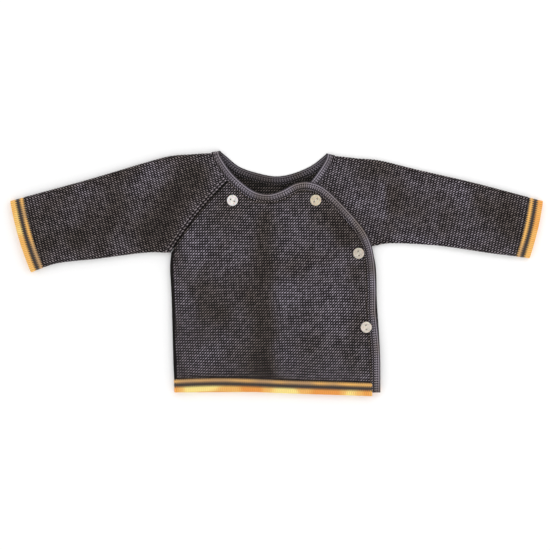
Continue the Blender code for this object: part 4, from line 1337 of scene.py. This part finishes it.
pearl = {
    "button_neck_right": (0.90, 0.86, 0.83, 1),
    "button_neck_left": (0.72, 0.62, 0.46, 1),
    "button_side_upper": (0.66, 0.58, 0.49, 1),
    "button_side_lower": (0.76, 0.69, 0.60, 1),
}


def pearlFinish(name, colour):
    # shell-like plastic: swirls of lighter and greyer cream
    material, tree, shader = newFinish(name, 0.32, coat=0.4)
    spot = put(tree, "ShaderNodeTexCoord").outputs["Object"]
    swirl = put(tree, "ShaderNodeTexNoise", Vector=spot, Scale=230.0, Detail=3.0, Roughness=0.55,
                Distortion=2.2).outputs[0]
    grey = tuple(buttons["grey"] * c for c in colour[:3]) + (1,)
    cream = mixed(tree, ranged(tree, swirl, *buttons["veins"]), grey, colour)
    tree.links.new(cream, shader.inputs["Base Color"])
    shader.inputs["Subsurface Weight"].default_value = 0.12
    shader.inputs["Subsurface Scale"].default_value = 1.5 * mm
    return material


def turnedDisc(name):
    # the profile, in its shares of radius and thickness, turned round the upright axis
    spots = np.array(list(buttonProfile.values())) * [buttons["radius"], buttons["thickness"]]
    outline = smoothLine({k: tuple(p / mm) for k, p in enumerate(spots)}, 40)
    outline[[0, -1], 0] = 0
    angle = np.linspace(0, turn, buttons["steps"], endpoint=False)
    rings = outline[1:-1]
    x = rings[:, 0, None] * np.cos(angle)
    y = rings[:, 0, None] * np.sin(angle)
    z = np.broadcast_to(rings[:, 1, None], x.shape)
    vertices = np.concatenate([np.stack([x, y, z], axis=-1).reshape(-1, 3),
                               [[0, 0, outline[0, 1]], [0, 0, outline[-1, 1]]]])
    count, steps = len(rings), buttons["steps"]
    index = np.arange(count * steps).reshape(count, steps)
    following = np.roll(index, -1, axis=1)
    quads = np.stack([index[:-1], index[1:], following[1:], following[:-1]], axis=-1).reshape(-1, 4)
    cap = np.stack([index[0], following[0], np.full(steps, count * steps)], axis=-1)
    foot = np.stack([following[-1], index[-1], np.full(steps, count * steps + 1)], axis=-1)
    mesh = bpy.data.meshes.new(name)
    mesh.from_pydata(vertices.tolist(), [], quads.tolist() + cap.tolist() + foot.tolist())
    return placed(name, mesh)


def rod(name, start, end, radius, steps=24):
    # a closed cylinder between two points
    axis = np.array(end, float) - np.array(start, float)
    upright = abs(axis[0]) + abs(axis[1]) < 1e-9
    side = np.array([1.0, 0, 0]) if upright else np.cross(axis, (0, 0, 1.0))
    side = side / np.linalg.norm(side)
    other = np.cross(axis / np.linalg.norm(axis), side)
    angle = np.linspace(0, turn, steps, endpoint=False)[:, None]
    ring = radius * (np.cos(angle) * side + np.sin(angle) * other)
    vertices = np.concatenate([ring + start, ring + end])
    faces = [(k, (k + 1) % steps, steps + (k + 1) % steps, steps + k) for k in range(steps)]
    faces += [tuple(range(steps - 1, -1, -1)), tuple(range(steps, 2 * steps))]
    mesh = bpy.data.meshes.new(name)
    mesh.from_pydata(vertices.tolist(), [], faces)
    return placed(name, mesh)


def drilled(disc):
    # the two holes, cut right through by rods that are removed again
    drills = []
    for spot in (-buttons["pitch"] / 2, buttons["pitch"] / 2):
        drill = rod("drill", (spot, 0, -buttons["thickness"]), (spot, 0, 2 * buttons["thickness"]),
                    buttons["hole"] / 2)
        cut = disc.modifiers.new("Hole", "BOOLEAN")
        cut.operation, cut.solver, cut.object = "DIFFERENCE", "EXACT", drill
        drills.append(drill)
    bpy.context.view_layer.update()
    evaluated = disc.evaluated_get(bpy.context.evaluated_depsgraph_get())
    cutMesh = bpy.data.meshes.new_from_object(evaluated)
    disc.modifiers.clear()
    disc.data = cutMesh
    for drill in drills:
        bpy.data.objects.remove(drill)
    cutMesh.shade_smooth()
    cutMesh.set_sharp_from_angle(angle=np.radians(50))
    return disc


def makeButton(name):
    # leans about y by the tilt, turns about z and stands on its foot's edge
    x, y, holesTurn, tilt = buttonSpots[name]
    disc = drilled(turnedDisc(name + "_pearl"))
    level = buttonProfile["face middle"][1] * buttons["thickness"] + buttons["threadRise"]
    reach = buttons["pitch"] / 2
    thread = rod(name + "_thread", (-reach, 0, level), (reach, 0, level), buttons["thread"] / 2, 12)
    thread.data.shade_smooth()
    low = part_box(name)[0].z
    lean, swing = np.radians(tilt), np.radians(holesTurn)
    lift = low + np.sin(lean) * buttonProfile["foot"][0] * buttons["radius"]
    leaning = np.array([[np.cos(lean), 0, np.sin(lean)], [0, 1, 0], [-np.sin(lean), 0, np.cos(lean)]])
    swinging = np.array([[np.cos(swing), -np.sin(swing), 0], [np.sin(swing), np.cos(swing), 0],
                         [0, 0, 1]])
    for piece, finish in ((disc, pearlFinish(name + "Pearl", pearl[name])), (thread, threadFinish)):
        spots = np.array([v.co for v in piece.data.vertices]) @ (swinging @ leaning).T
        spots = spots + [x * mm, y * mm, lift]
        piece.data.vertices.foreach_set("co", spots.astype(np.float32).ravel())
        piece.data.update()
        piece.data.materials.clear()
        piece.data.materials.append(finish)
        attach(piece, "root")
    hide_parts(name)
    print(f"{disc.name}: {sum(len(p.vertices) - 2 for p in disc.data.polygons)} triangles")


threadFinish, threadTree, threadShader = newFinish("creamThread", 0.8, sheen=0.2)
threadShader.inputs["Base Color"].default_value = (0.80, 0.76, 0.66, 1)
for name in buttonSpots:
    makeButton(name)
print("buttons made")


# Floor, light and camera

studio = {
    "floorReach": 12.0,
    "floorShade": (0.96, 0.96, 0.96, 1),
    "floorGlow": 0.08,
    "keySize": 0.8,
    "keyPower": 19,
    "keyPlace": (0.9, 1.1, 1.6),
    "world": 1.0,
    "eyePlace": (-1.5 * mm, -1.9 * mm, 6.0),
    "frameWidth": 0.594,     # what the camera sees from side to side
    "sensor": 36,
}


def buildFloor():
    plane = bpy.data.meshes.new("floor")
    reach = studio["floorReach"]
    plane.from_pydata([(-reach, -reach, 0), (reach, -reach, 0), (reach, reach, 0), (-reach, reach, 0)],
                      [], [(0, 1, 2, 3)])
    floor = placed("floor", plane)
    floor.location.z = cadBox[0].z - 0.02 * mm
    material, _, shader = newFinish("paleFloor", 0.9)
    shader.inputs["Base Color"].default_value = studio["floorShade"]
    shader.inputs["Emission Color"].default_value = (1, 1, 1, 1)
    shader.inputs["Emission Strength"].default_value = studio["floorGlow"]
    plane.materials.append(material)


def lightStudio():
    # a white world, and one soft disc that faces the origin
    world = bpy.data.worlds.new("studio")
    world.use_nodes = True
    background = world.node_tree.nodes["Background"]
    background.inputs["Color"].default_value = (1, 1, 1, 1)
    background.inputs["Strength"].default_value = studio["world"]
    bpy.context.scene.world = world
    lamp = bpy.data.lights.new("key", "AREA")
    lamp.shape, lamp.size, lamp.energy = "DISK", studio["keySize"], studio["keyPower"]
    key = placed("key", lamp)
    x, y, z = key.location = studio["keyPlace"]
    key.rotation_euler = (np.arctan2(np.hypot(x, y), z), 0, np.arctan2(-x, y))
    bpy.context.scene.view_settings.view_transform = "Standard"


def placeCamera():
    # straight above, so far off that the cardigan's own depth hardly shows
    camera = bpy.data.cameras.new("overhead")
    camera.sensor_width = studio["sensor"]
    camera.lens = studio["sensor"] * studio["eyePlace"][2] / studio["frameWidth"]
    camera.clip_end = 50
    eye = placed("overhead", camera)
    eye.location = studio["eyePlace"]
    bpy.context.scene.camera = eye


buildFloor()
lightStudio()
placeCamera()
print("studio made")
